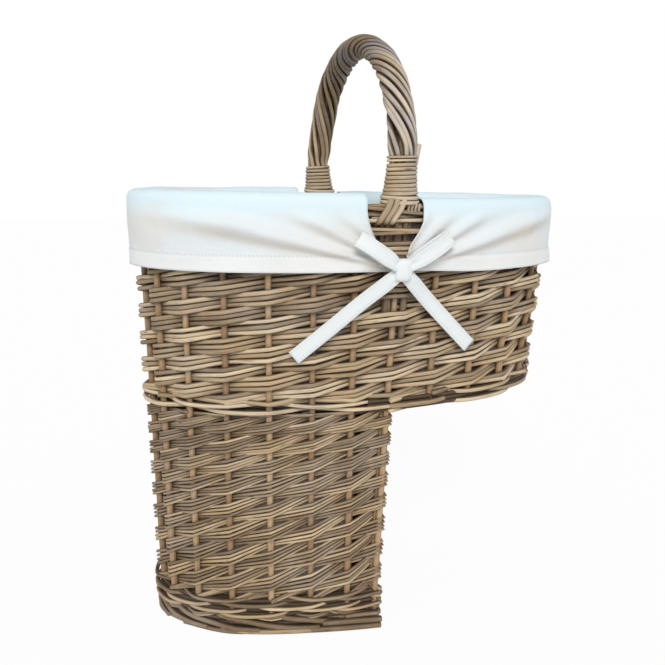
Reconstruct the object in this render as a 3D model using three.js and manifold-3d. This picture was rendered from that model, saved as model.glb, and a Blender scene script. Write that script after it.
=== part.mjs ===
// A stair basket: a willow basket whose deep leg stands on one stair while its shelf rests on the next,
// with a bow handle across the middle and a cotton liner tied round the handle's feet.
// Millimetres, +Z up, +X towards the shelf end, -Y the front. The origin is on the floor under the handle.
import * as THREE from 'three';
import { mergeVertices } from 'three/addons/utils/BufferGeometryUtils.js';
import Module from 'manifold-3d';

const wasm = await Module();
wasm.setup();

// Plan: the stakes stand on an oval that widens evenly from the floor to the rim
const FOOT_HALF_LENGTH = 193;
const FOOT_HALF_WIDTH = 89.5;
const RIM_HALF_LENGTH = 202;
const RIM_HALF_WIDTH = 96;
const LEG_END_FULLNESS = 2.0;
const SHELF_END_FULLNESS = 2.2;
const RISER_FOOT_X = -6;
const RISER_RIM_X = 5;
const STAKE_CROWDING = 0.037;

// Heights
const RIM_HEIGHT = 400;
const LEG_HEIGHT = 219;
const FOOT_BORDER_HEIGHT = 16;
const FOOT_WALE_HEIGHT = 16;
const WAIST_WALE_HEIGHT = 8;
const RIM_BORDER_HEIGHT = 14.5;
const PAIRING_HEIGHT = 5;
const OPEN_ROW_HEIGHT = 7.5;

// Stakes
const STAKE_RADIUS = 3.2;
const LEG_STAKES = 13;
const SHELF_STAKES = 10;
const RISER_STAKES = 4;

// Weave: each slew is a band of rods worked together, before one stake and behind the next
const LEG_ROWS = 17;
const LEG_BAND = 3.6;
const LEG_PIECES = 4;
const BODY_ROWS = 10;
const BODY_BAND = 4.4;
const BODY_PIECES = 4;
const WALE_BAND = 5;
const WALE_PERIOD = 3;
const PAIRING_BAND = 3.4;
const PAIRING_PERIOD = 2;
const SLEW_TAPER = 0.25;

// Borders
const BORDER_WIDTH = 15;
const BORDER_GROOVE = 1.6;
const WALE_GROOVE = 0.9;
const CORNER_CHAMFER = 5;
const CORNER_RUN = 3.5;

// Base panels
const PANEL_STICKS = 4;
const PANEL_STICK_RADIUS = 2.4;
const PANEL_BAND = 2;
const PANEL_PITCH = 21;
const PANEL_REACH = 0.96;
const LEG_PANEL_HEIGHT = 5;

// Handle
const HANDLE_X = 1.5;
const HANDLE_HALF_SPAN = 103;
const HANDLE_RISE = 102.7;
const HANDLE_FOOT_DEPTH = 117;
const HANDLE_FOOT_RADIUS = 4.5;
const HANDLE_CORE_RADIUS = 7;
const HANDLE_RADIUS = 13;
const HANDLE_BOUND_RADIUS = 11;
const HANDLE_FLATNESS = 0.79;
const HANDLE_RODS = 8;
const HANDLE_ROD_GROOVE = 2;
const HANDLE_TWIST = 3;
const HANDLE_FLARE = 14;
const HANDLE_BOUND_STEPS = 9;
const HANDLE_ARCH_STEPS = 20;

// Bindings round the handle's legs
const BINDING_RADIUS = 1.5;
const BINDING_LOOPS = 9;
const BINDING_PITCH = 3.5;
const BINDING_STEPS = 12;
const COLLAR_RADIUS = 2.4;

// Rods that lash the handle to the border
const LASHING_RODS = 3;
const LASHING_RADIUS = 2.2;
const LASHING_PITCH = 6;
const LASHING_SHIFT = -4;
const LASHING_SLANT = 8;
const LASHING_BULGE = 0.8;

// Liner
const CLOTH = 2.2;
const CUFF_LOFT = 6;
const CUFF_DROP = 56;
const CUFF_TUCK = 14;
const CUFF_STEPS = 27;
const CUFF_FOLD_DEPTH = 2.4;
const CUFF_FOLD_ANGLES = [0.32, 0.72, 1.1];
const CUFF_FOLD_SPREAD = 0.13;
const CUFF_FOLD_START = 12;
const CUFF_FOLD_FULL = 40;
const CUFF_FOLD_FADES = 70;
const CUFF_FOLD_END = 170;
const HEM_HEIGHT = 12;
const HEM_EXTRA = 0.7;
const LINER_FOLDS = 9;
const LINER_FOLD_DEPTH = 2.5;
const NOTCH_X = -6;
const NOTCH_HALF_WIDTH = 24.5;

// Bows that draw the cuffs together below each handle foot; loops rise and tails drop from the knot
const KNOT_X = 0;
const KNOT_GAP = 9;
const KNOT_LIFT = 2.7;
const KNOT_HALF_LENGTH = 8;
const KNOT_HALF_HEIGHT = 7.5;
const KNOT_HALF_DEPTH = 3.2;
const GATHER_HALF_LENGTH = 10;
const RIBBON_WIDTH = 13;
const RIBBON_WIDTH_AT_KNOT = 10;
const RIBBON = 1.6;
const LOOP_OPENING = 4.5;
const LEG_LOOP_REACH = 38.5;
const LEG_LOOP_RISE = 26.3;
const SHELF_LOOP_REACH = 43.2;
const SHELF_LOOP_RISE = 27.3;
const LEG_TAIL_REACH = 87.4;
const LEG_TAIL_DROP = 75;
const SHELF_TAIL_REACH = 76.8;
const SHELF_TAIL_DROP = 74.7;

// Gap kept between neighbouring pieces
const CLEAR = 0.35;

// Heights and offsets that follow from the sizes above
const legWeaveLow = FOOT_BORDER_HEIGHT + FOOT_WALE_HEIGHT;
const waistTop = LEG_HEIGHT + WAIST_WALE_HEIGHT;
const borderLow = RIM_HEIGHT - RIM_BORDER_HEIGHT;
const lashingHeight = borderLow - CLEAR - LASHING_RADIUS;
const pairingTop = lashingHeight - LASHING_RADIUS - CLEAR;
const pairingLow = pairingTop - PAIRING_HEIGHT;
const bodyWeaveTop = pairingLow - OPEN_ROW_HEIGHT;
const footLow = RIM_HEIGHT - HANDLE_FOOT_DEPTH;
const collarHeight = RIM_HEIGHT + CLEAR + COLLAR_RADIUS + CLEAR;
const bindingLow = collarHeight + COLLAR_RADIUS + CLEAR + BINDING_RADIUS;
const bindingHigh = bindingLow + BINDING_LOOPS * BINDING_PITCH;

const WILLOW = { color: 0x8f7558, roughness: 0.75, metalness: 0 };
const WILLOW_STAKE = { color: 0xa08460, roughness: 0.72, metalness: 0 };
const WILLOW_HANDLE = { color: 0x8b7a67, roughness: 0.72, metalness: 0 };
const COTTON = { color: 0xf2eee4, roughness: 0.95, metalness: 0 };

const group = new THREE.Group();

function addMesh(name, geometry, finish) {
  const mesh = new THREE.Mesh(geometry, new THREE.MeshStandardMaterial(finish));
  mesh.name = name;
  group.add(mesh);
  return mesh;
}

const mix = THREE.MathUtils.lerp;
const smooth = THREE.MathUtils.smoothstep;

// Signed volume of an indexed triangle mesh, positive when its faces point out
function signedVolume(positions, faces) {
  const at = (i) => new THREE.Vector3().fromArray(positions, 3 * i);
  let sum = 0;
  for (let i = 0; i < faces.length; i += 3) {
    sum += at(faces[i]).dot(at(faces[i + 1]).cross(at(faces[i + 2])));
  }
  return sum / 6;
}

// Closed skin over rings with equal numbers of points; a closed loft joins its last ring to its first
function loft(rings, closed = false) {
  const count = rings[0].length;
  const positions = rings.flat().flatMap((p) => p.toArray());
  const faces = [];
  const spans = closed ? rings.length : rings.length - 1;
  for (let i = 0; i < spans; i += 1) {
    const here = i * count;
    const next = ((i + 1) % rings.length) * count;
    for (let j = 0; j < count; j += 1) {
      const k = (j + 1) % count;
      faces.push(here + j, next + j, next + k, here + j, next + k, here + k);
    }
  }
  if (!closed) {
    const last = (rings.length - 1) * count;
    for (const [start, turned] of [[0, false], [last, true]]) {
      const ring = rings[start / count];
      const middle = positions.length / 3;
      const sum = ring.reduce((total, p) => total.add(p), new THREE.Vector3());
      positions.push(...sum.divideScalar(count).toArray());
      for (let j = 0; j < count; j += 1) {
        const pair = [start + j, start + ((j + 1) % count)];
        faces.push(middle, ...(turned ? pair.reverse() : pair));
      }
    }
  }
  if (signedVolume(positions, faces) < 0) {
    faces.reverse();
  }
  const geometry = new THREE.BufferGeometry();
  geometry.setAttribute('position', new THREE.Float32BufferAttribute(positions, 3));
  geometry.setIndex(faces);
  return geometry;
}

function toSolid(geometry) {
  const vertProperties = new Float32Array(geometry.attributes.position.array);
  const triVerts = new Uint32Array(geometry.index.array);
  return new wasm.Manifold(new wasm.Mesh({ numProp: 3, vertProperties, triVerts }));
}

function toGeometry(solid) {
  const mesh = solid.getMesh();
  const geometry = new THREE.BufferGeometry();
  const positions = [];
  for (let i = 0; i < mesh.vertProperties.length; i += mesh.numProp) {
    positions.push(...mesh.vertProperties.slice(i, i + 3));
  }
  geometry.setAttribute('position', new THREE.Float32BufferAttribute(positions, 3));
  geometry.setIndex(Array.from(mesh.triVerts));
  return geometry;
}

const join = (geometries) => toGeometry(geometries.map(toSolid).reduce((whole, piece) => whole.add(piece)));

// Wall places: the point on the stake line at an angle of the oval and a height, with its outward normal
const halfLength = (z) => mix(FOOT_HALF_LENGTH, RIM_HALF_LENGTH, z / RIM_HEIGHT);
const halfWidth = (z) => mix(FOOT_HALF_WIDTH, RIM_HALF_WIDTH, z / RIM_HEIGHT);
const riserX = (z) => mix(RISER_FOOT_X, RISER_RIM_X, z / RIM_HEIGHT);
const footX = (z) => riserX(z) - STAKE_RADIUS - HANDLE_FOOT_RADIUS - CLEAR;

function oval(angle, z) {
  const c = Math.cos(angle);
  const s = Math.sin(angle);
  const fullness = c < 0 ? LEG_END_FULLNESS : SHELF_END_FULLNESS;
  const a = halfLength(z);
  const b = halfWidth(z);
  const along = Math.sign(c) * Math.abs(c) ** (2 / fullness);
  const across = Math.sign(s) * Math.abs(s) ** (2 / fullness);
  const nx = (Math.sign(along) * Math.abs(along) ** (fullness - 1)) / a;
  const ny = (Math.sign(across) * Math.abs(across) ** (fullness - 1)) / b;
  const length = Math.hypot(nx, ny);
  return { x: a * along, y: b * across, nx: nx / length, ny: ny / length };
}

function wallPoint(place, z, out) {
  const p = place(z);
  return new THREE.Vector3(p.x + p.nx * out, p.y + p.ny * out, z);
}

// Angles that divide the rim between two angles, the ends left out: evenly, or crowded towards the middle
function spread(from, to, count, crowding) {
  const samples = 600;
  const lengths = [0];
  for (let i = 1; i <= samples; i += 1) {
    const a = oval(mix(from, to, (i - 1) / samples), RIM_HEIGHT);
    const b = oval(mix(from, to, i / samples), RIM_HEIGHT);
    lengths.push(lengths[i - 1] + Math.hypot(b.x - a.x, b.y - a.y));
  }
  return Array.from({ length: count }, (_, n) => {
    const even = (n + 1) / (count + 1);
    const crowded = even + crowding * Math.sin(Math.PI * even) ** 2 * Math.sin(2 * Math.PI * even);
    const wanted = lengths[samples] * crowded;
    const i = lengths.findIndex((value) => value >= wanted);
    const part = (wanted - lengths[i - 1]) / (lengths[i] - lengths[i - 1]);
    return mix(from, to, (i - 1 + part) / samples);
  });
}

const FRONT = (3 * Math.PI) / 2;
const BACK = Math.PI / 2;
const legAngles = spread(FRONT, BACK, LEG_STAKES, STAKE_CROWDING);
const shelfAngles = spread(BACK, -BACK, SHELF_STAKES, 0);

// A post is anything that the weave passes: its place at each height and its radius
const ovalPost = (angle) => ({ place: (z) => oval(angle, z), radius: STAKE_RADIUS });
const sidePost = (side, xAt, radius) => ({
  place: (z) => ({ x: xAt(z), y: side * halfWidth(z), nx: 0, ny: side }),
  radius,
});
const cornerPost = (side) => ({
  place: (z) => ({ x: riserX(z), y: side * halfWidth(z), nx: Math.SQRT1_2, ny: side * Math.SQRT1_2 }),
  radius: STAKE_RADIUS,
});
const riserPost = (share) => ({
  place: (z) => ({ x: riserX(z), y: share * halfWidth(z), nx: 1, ny: 0 }),
  radius: STAKE_RADIUS,
});

const legPosts = legAngles.map(ovalPost);
const shelfPosts = shelfAngles.map(ovalPost);
const riserShares = Array.from({ length: RISER_STAKES }, (_, n) => 1 - (2 * (n + 1)) / (RISER_STAKES + 1));
const riserPosts = riserShares.map(riserPost);

// Both loops start at the first stake left of the front handle foot and run by way of the leg's round end
const legLoop = () => [...legPosts, cornerPost(1), ...riserPosts, cornerPost(-1)].map((post) => [post]);

// Above the handle's feet the weave takes the corner stake and the foot beside it as one wide post
function bodyLoop(high) {
  const besideFoot = high > footLow - CLEAR;
  const spreadOut = HANDLE_FOOT_RADIUS / 2;
  const pair = (side) => [
    sidePost(side, (z) => footX(z) - spreadOut, HANDLE_FOOT_RADIUS),
    sidePost(side, (z) => riserX(z) + spreadOut, HANDLE_FOOT_RADIUS),
  ];
  const single = (side) => [sidePost(side, riserX, STAKE_RADIUS)];
  const handle = (side) => (besideFoot ? pair(side) : single(side));
  const legSide = legPosts.map((post) => [post]);
  const shelfSide = shelfPosts.map((post) => [post]);
  return [...legSide, handle(1), ...shelfSide, handle(-1).reverse()];
}

// Outline of a stack of rods, flat on top and bottom: pairs of an offset across the wall and a height
function lobed(width, low, high, lobes, groove) {
  const outer = [];
  for (let i = 0; i <= 2 * lobes; i += 1) {
    outer.push([width / 2 - (i % 2 === 0 ? groove : 0), mix(low, high, i / (2 * lobes))]);
  }
  return [...outer, ...outer.map(([offset, z]) => [-offset, z]).reverse()];
}

// How far out of the stake line a band's middle lies at each post, its slanting runs clear of the post
function reachesAt(stops, thickness, edge) {
  const place = ({ post, profile }) => post.place(edge(...profile.map(([, z]) => z)));
  const facing = (stop, owner) => {
    const p = place(stop);
    const middle = stop.side * (stop.post.radius + CLEAR + thickness / 2);
    const out = middle - (owner.side * thickness) / 2;
    return new THREE.Vector2(p.x + p.nx * out, p.y + p.ny * out);
  };
  return stops.map((stop, i) => {
    const p = place(stop);
    const inward = new THREE.Vector2(-stop.side * p.nx, -stop.side * p.ny);
    const leans = [stops[i - 1], stops[i + 1]].filter(Boolean).map((other) => {
      const run = facing(other, stop).sub(facing(stop, stop));
      return Math.atan2(Math.max(0, run.dot(inward)), Math.abs(run.cross(inward)));
    });
    return (stop.post.radius + CLEAR) / Math.cos(Math.max(...leans)) + thickness / 2;
  });
}

function bandReaches(stops, thickness) {
  const upper = reachesAt(stops, thickness, Math.max);
  return reachesAt(stops, thickness, Math.min).map((reach, i) => Math.max(reach, upper[i]));
}

function bandRings(stops, thickness) {
  const reaches = bandReaches(stops, thickness);
  return stops.map(({ post, side, profile }, i) => (
    profile.map(([offset, z]) => wallPoint(post.place, z, side * reaches[i] + offset))
  ));
}

// Stops of a slew that climbs row on row as one spiral, thin where it starts and where it runs out
function slewStops(loopAt, low, high, rows, thickness) {
  const pitch = (high - low) / rows;
  const count = loopAt(low).length;
  const stops = [];
  const first = Math.round(SLEW_TAPER * count);
  const last = Math.round((rows + 1 - SLEW_TAPER) * count);
  for (let step = first; step <= last; step += 1) {
    const turns = step / count;
    const under = low + pitch * Math.max(0, turns - 1) + CLEAR / 2;
    const over = low + pitch * Math.min(rows, turns) - CLEAR / 2;
    const side = step % 2 === 0 ? 1 : -1;
    const half = thickness / 2;
    const profile = [[half, under], [half, over], [-half, over], [-half, under]];
    for (const post of loopAt(over)[step % count]) {
      stops.push({ post, side, profile });
    }
  }
  return stops;
}

// Cuts a slew into lengths that follow each other with a small gap
function slewPieces(rings, pieces) {
  const part = (from, to, share) => from.map((p, i) => p.clone().lerp(to[i], share));
  const gapShare = (i) => (CLEAR / 2) / rings[i][0].distanceTo(rings[i + 1][0]);
  return Array.from({ length: pieces }, (_, n) => {
    const from = Math.round(((rings.length - 1) * n) / pieces);
    const to = Math.round(((rings.length - 1) * (n + 1)) / pieces);
    const start = part(rings[from], rings[from + 1], gapShare(from));
    const end = part(rings[to], rings[to - 1], gapShare(to - 1));
    return loft([start, ...rings.slice(from + 1, to), end]);
  });
}

// One round of waling: out past some stakes and in behind the last of each group
function waleBody(loop, low, high, thickness, rods, period) {
  const profile = lobed(thickness, low, high, rods, WALE_GROOVE);
  const stops = [];
  for (let step = 0; step <= loop.length; step += 1) {
    const side = step % period === period - 1 ? -1 : 1;
    for (const post of loop[step % loop.length]) {
      stops.push({ post, side, profile });
    }
  }
  return slewPieces(bandRings(stops, thickness), 1)[0];
}

// Stakes
function addStake(name, post, low, high) {
  const bottom = wallPoint(post.place, low, 0);
  const top = wallPoint(post.place, high, 0);
  const stake = new THREE.CylinderGeometry(STAKE_RADIUS, STAKE_RADIUS, bottom.distanceTo(top), 6);
  const mesh = addMesh(name, stake, WILLOW_STAKE);
  mesh.position.copy(bottom).lerp(top, 0.5);
  mesh.quaternion.setFromUnitVectors(new THREE.Vector3(0, 1, 0), top.sub(bottom).normalize());
}

const stakeLow = FOOT_BORDER_HEIGHT + CLEAR;
const stakeHigh = borderLow - CLEAR;
const shelfStakeLow = LEG_HEIGHT + 2 * CLEAR;
legPosts.forEach((post, n) => addStake(`leg_stake_${n + 1}`, post, stakeLow, stakeHigh));
addStake('corner_stake_front', sidePost(-1, riserX, STAKE_RADIUS), stakeLow, stakeHigh);
addStake('corner_stake_back', sidePost(1, riserX, STAKE_RADIUS), stakeLow, stakeHigh);
riserPosts.forEach((post, n) => addStake(`riser_stake_${n + 1}`, post, stakeLow, LEG_HEIGHT));
shelfPosts.forEach((post, n) => addStake(`shelf_stake_${n + 1}`, post, shelfStakeLow, stakeHigh));

// Weave of the leg and of the body above it
const legStops = slewStops(legLoop, legWeaveLow, LEG_HEIGHT, LEG_ROWS, LEG_BAND);
const legPieces = slewPieces(bandRings(legStops, LEG_BAND), LEG_PIECES);
legPieces.forEach((piece, n) => addMesh(`leg_weave_${n + 1}`, piece, WILLOW));
const bodyStops = slewStops(bodyLoop, waistTop, bodyWeaveTop, BODY_ROWS, BODY_BAND);
const bodyPieces = slewPieces(bandRings(bodyStops, BODY_BAND), BODY_PIECES);
bodyPieces.forEach((piece, n) => addMesh(`body_weave_${n + 1}`, piece, WILLOW));

const footWaleLow = FOOT_BORDER_HEIGHT + CLEAR;
const footWale = waleBody(legLoop(), footWaleLow, legWeaveLow - CLEAR / 2, WALE_BAND, 2, WALE_PERIOD);
addMesh('foot_wale', footWale, WILLOW);
const waistLow = LEG_HEIGHT + CLEAR / 2;
const waistWale = waleBody(bodyLoop(waistTop), waistLow, waistTop - CLEAR / 2, WALE_BAND, 2, WALE_PERIOD);
addMesh('waist_wale', waistWale, WILLOW);
const pairing = waleBody(bodyLoop(pairingTop), pairingLow, pairingTop, PAIRING_BAND, 1, PAIRING_PERIOD);
addMesh('rim_pairing', pairing, WILLOW);

// Borders: thick rods rolled into a ring, the foot's over the leg's outline, the rim's over the whole oval
function chamferPlaces(side) {
  const mitre = 1 / Math.cos(Math.PI / 8);
  const lean = Math.PI / 8;
  const near = { nx: Math.sin(lean) * mitre, ny: side * Math.cos(lean) * mitre };
  const far = { nx: Math.cos(lean) * mitre, ny: side * Math.sin(lean) * mitre };
  return [
    (z) => ({ x: riserX(z) - CORNER_CHAMFER, y: side * halfWidth(z), ...near }),
    (z) => ({ x: riserX(z), y: side * (halfWidth(z) - CORNER_CHAMFER), ...far }),
  ];
}

function legOutline(steps) {
  const ends = Math.asin((CORNER_CHAMFER + CORNER_RUN - RISER_FOOT_X) / FOOT_HALF_LENGTH);
  const places = [];
  for (let i = 0; i <= steps; i += 1) {
    const angle = mix(FRONT - ends, BACK + ends, i / steps);
    places.push((z) => oval(angle, z));
  }
  return [...places, ...chamferPlaces(1), ...chamferPlaces(-1).reverse()];
}

function ringBody(places, profile) {
  return loft(places.map((place) => profile.map(([out, z]) => wallPoint(place, z, out))), true);
}

const footProfile = lobed(BORDER_WIDTH, 0, FOOT_BORDER_HEIGHT, 2, BORDER_GROOVE);
addMesh('foot_border', ringBody(legOutline(LEG_STAKES * 2 + 2), footProfile), WILLOW);

// Handle: a bow whose feet stand in the weave beside the corner stakes
function bowPoint(side, z) {
  const lean = smooth(z, collarHeight + COLLAR_RADIUS, bindingHigh);
  const y = side * mix(halfWidth(z), HANDLE_HALF_SPAN, lean);
  return new THREE.Vector3(mix(footX(z), HANDLE_X, lean), y, z);
}

function bowStations() {
  const legHeights = [footLow, mix(footLow, borderLow, 0.5), borderLow, RIM_HEIGHT - CLEAR];
  for (let i = 0; i <= HANDLE_BOUND_STEPS; i += 1) {
    legHeights.push(mix(RIM_HEIGHT + CLEAR, bindingHigh, i / HANDLE_BOUND_STEPS));
  }
  const arch = [];
  for (let i = 1; i < HANDLE_ARCH_STEPS; i += 1) {
    const angle = (Math.PI * i) / HANDLE_ARCH_STEPS;
    const y = -HANDLE_HALF_SPAN * Math.cos(angle);
    arch.push(new THREE.Vector3(HANDLE_X, y, bindingHigh + HANDLE_RISE * Math.sin(angle)));
  }
  const front = legHeights.map((z) => bowPoint(-1, z));
  const back = legHeights.map((z) => bowPoint(1, z)).reverse();
  return [...front, ...arch, ...back];
}

const beside = (point, across, a, up, b) => point.clone().addScaledVector(across, a).addScaledVector(up, b);

// Rings round a path in the handle's plane, each square to the path
function pathRings(points, section) {
  return points.map((point, i) => {
    const ahead = points[Math.min(i + 1, points.length - 1)];
    const behind = points[Math.max(i - 1, 0)];
    const tangent = ahead.clone().sub(behind).normalize();
    const across = new THREE.Vector3(1, 0, 0).addScaledVector(tangent, -tangent.x).normalize();
    const up = tangent.clone().cross(across);
    return section(point, i).map(([a, b]) => beside(point, across, a, up, b));
  });
}

const polygon = (radius, sides, turn = 0) => Array.from({ length: sides }, (_, n) => {
  const angle = turn + (2 * Math.PI * n) / sides;
  return [radius * Math.cos(angle), radius * Math.sin(angle)];
});

// The feet are round, and everything above the collar is flatter across the bow than along it
const stations = bowStations();
const coreSides = 6;
const aboveFoot = (z) => smooth(z, RIM_HEIGHT + CLEAR, bindingLow);
const coreRadius = (z) => mix(HANDLE_FOOT_RADIUS, HANDLE_CORE_RADIUS, aboveFoot(z));
const flatness = (z) => mix(1, HANDLE_FLATNESS, aboveFoot(z));

function bowCore(points, extra) {
  return loft(pathRings(points, (p) => (
    polygon(1, coreSides).map(([a, b]) => (
      [a * (coreRadius(p.z) + extra), b * (coreRadius(p.z) * flatness(p.z) + extra)]
    ))
  )));
}

addMesh('handle_bow', bowCore(stations, 0), WILLOW_HANDLE);

const sleeveStations = stations.filter((p) => p.z > RIM_HEIGHT);
const boreClear = CLEAR / Math.cos(Math.PI / coreSides) / HANDLE_FLATNESS;
const boundShare = (z) => smooth(z, bindingHigh, bindingHigh + HANDLE_FLARE);
const sleeveRadius = (z) => mix(HANDLE_BOUND_RADIUS, HANDLE_RADIUS, boundShare(z));
const travel = sleeveStations.map((p, i) => (i === 0 ? 0 : p.distanceTo(sleeveStations[i - 1])));
const travelled = travel.map((_, i) => travel.slice(0, i + 1).reduce((sum, value) => sum + value, 0));
const sleeveLength = travelled[travelled.length - 1];
const twistedRods = pathRings(sleeveStations, (p, i) => {
  const turn = (2 * Math.PI * HANDLE_TWIST * travelled[i]) / sleeveLength;
  return polygon(1, 2 * HANDLE_RODS, turn).map(([a, b], n) => {
    const radius = sleeveRadius(p.z) - (n % 2 === 0 ? 0 : HANDLE_ROD_GROOVE);
    return [a * radius, b * radius * HANDLE_FLATNESS];
  });
});
const handleRods = toSolid(loft(twistedRods)).subtract(toSolid(bowCore(stations, boreClear)));
addMesh('handle_rods', toGeometry(handleRods), WILLOW_HANDLE);

// Rim border with a hole for each handle foot
const rimProfile = lobed(BORDER_WIDTH, borderLow, RIM_HEIGHT, 2, BORDER_GROOVE);
const rimSteps = LEG_STAKES + SHELF_STAKES + 17;
const rimPlaces = Array.from({ length: rimSteps }, (_, n) => (z) => oval((2 * Math.PI * n) / rimSteps, z));
let rimBorder = toSolid(ringBody(rimPlaces, rimProfile));
for (const side of [-1, 1]) {
  const hole = [borderLow - BORDER_WIDTH, RIM_HEIGHT + BORDER_WIDTH].map((z) => (
    new THREE.Vector3(footX(z), side * halfWidth(z), z)
  ));
  const holeSection = polygon(HANDLE_FOOT_RADIUS + 2 * CLEAR, 8);
  rimBorder = rimBorder.subtract(toSolid(loft(pathRings(hole, () => holeSection))));
}
addMesh('rim_border', toGeometry(rimBorder), WILLOW);

// A round tube along a path given by points, with frames that turn as little as they can
function tube(points, radius, sides) {
  let across = new THREE.Vector3();
  const rings = points.map((point, i) => {
    const ahead = points[Math.min(i + 1, points.length - 1)];
    const behind = points[Math.max(i - 1, 0)];
    const tangent = ahead.clone().sub(behind).normalize();
    if (i === 0) {
      const start = Math.abs(tangent.z) < 0.9 ? new THREE.Vector3(0, 0, 1) : new THREE.Vector3(1, 0, 0);
      across = start;
    }
    across = across.clone().addScaledVector(tangent, -across.dot(tangent)).normalize();
    const up = tangent.clone().cross(across);
    return polygon(radius, sides).map(([a, b]) => beside(point, across, a, up, b));
  });
  return loft(rings);
}

// A level offset from the handle's middle to a rod that lies round its bound part in so many steps
function roundHandle(angle, radius, steps) {
  const chordRise = 1 / Math.cos(Math.PI / steps);
  const wide = (HANDLE_BOUND_RADIUS + CLEAR + radius) * chordRise;
  const deep = (HANDLE_BOUND_RADIUS * HANDLE_FLATNESS + CLEAR + radius) * chordRise;
  return new THREE.Vector3(wide * Math.cos(angle), deep * Math.sin(angle), 0);
}

// Binding: one rod wound tight round the bound part of a leg, wider where the leg leans most
function bindingPath(side) {
  const leanOut = Math.hypot(HANDLE_HALF_SPAN - halfWidth(RIM_HEIGHT), HANDLE_X - footX(RIM_HEIGHT));
  const steepest = (1.5 * leanOut) / (bindingHigh - collarHeight - COLLAR_RADIUS);
  const widening = Math.hypot(1, steepest);
  const points = [];
  for (let i = 0; i <= BINDING_LOOPS * BINDING_STEPS; i += 1) {
    const angle = (2 * Math.PI * i) / BINDING_STEPS;
    const centre = bowPoint(side, bindingLow + (BINDING_PITCH * i) / BINDING_STEPS);
    points.push(centre.addScaledVector(roundHandle(angle, BINDING_RADIUS, BINDING_STEPS), widening));
  }
  const lengthen = (end, next) => {
    const away = end.clone().sub(next).normalize();
    return end.clone().addScaledVector(away, 2 * BINDING_RADIUS);
  };
  const start = lengthen(points[0], points[1]);
  const finish = lengthen(points[points.length - 1], points[points.length - 2]);
  return [start, ...points, finish];
}

function selfGap(points, radius, stepsPerLoop) {
  let least = Infinity;
  for (let i = 0; i < points.length; i += 1) {
    for (let j = i + Math.floor(stepsPerLoop / 2); j < points.length; j += 1) {
      least = Math.min(least, points[i].distanceTo(points[j]) - 2 * radius);
    }
  }
  return least;
}

for (const [name, side] of [['front', -1], ['back', 1]]) {
  const path = bindingPath(side);
  addMesh(`handle_binding_${name}`, tube(path, BINDING_RADIUS, 5), WILLOW_HANDLE);
  const gap = selfGap(path, BINDING_RADIUS, BINDING_STEPS);
  console.log(`handle_binding_${name} least gap to itself ${gap.toFixed(2)} mm`);
}

// Lashing: a collar round the leg, and rods that come out of it, cross the border and tuck in under it
function lashing(side) {
  const collarSteps = 16;
  const level = new THREE.Vector3(0, 0, 1);
  const centre = bowPoint(side, collarHeight);
  const collar = Array.from({ length: collarSteps }, (_, n) => {
    const angle = (2 * Math.PI * n) / collarSteps;
    const outward = new THREE.Vector3(Math.cos(angle), Math.sin(angle), 0);
    const middle = centre.clone().add(roundHandle(angle, COLLAR_RADIUS, collarSteps));
    return polygon(COLLAR_RADIUS, 6).map(([a, b]) => beside(middle, outward, a, level, b));
  });
  const pieces = [loft(collar, true)];
  const out = BORDER_WIDTH / 2 + CLEAR + LASHING_RADIUS;
  for (let n = 0; n < LASHING_RODS; n += 1) {
    const high = centre.x + LASHING_SHIFT + (n - (LASHING_RODS - 1) / 2) * LASHING_PITCH;
    const low = high - LASHING_SLANT;
    const rim = (x, z, offset) => new THREE.Vector3(x, side * (halfWidth(z) + offset), z);
    const slanting = (share, bulge) => (
      rim(mix(high, low, share), mix(RIM_HEIGHT, borderLow, share), out + bulge)
    );
    const wide = roundHandle(0, COLLAR_RADIUS, collarSteps).x;
    const inCollar = roundHandle(Math.acos((high - centre.x) / wide), COLLAR_RADIUS, collarSteps);
    inCollar.y *= side;
    pieces.push(tube([
      inCollar.add(centre),
      slanting(0.3, LASHING_BULGE),
      slanting(0.8, 0),
      rim(low, lashingHeight + LASHING_RADIUS, out),
      rim(low, lashingHeight, out - LASHING_RADIUS),
      rim(low, lashingHeight, HANDLE_FOOT_RADIUS + CLEAR),
    ], LASHING_RADIUS, 6));
  }
  return join(pieces);
}
addMesh('rim_lashing_front', lashing(-1), WILLOW_HANDLE);
addMesh('rim_lashing_back', lashing(1), WILLOW_HANDLE);

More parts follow.
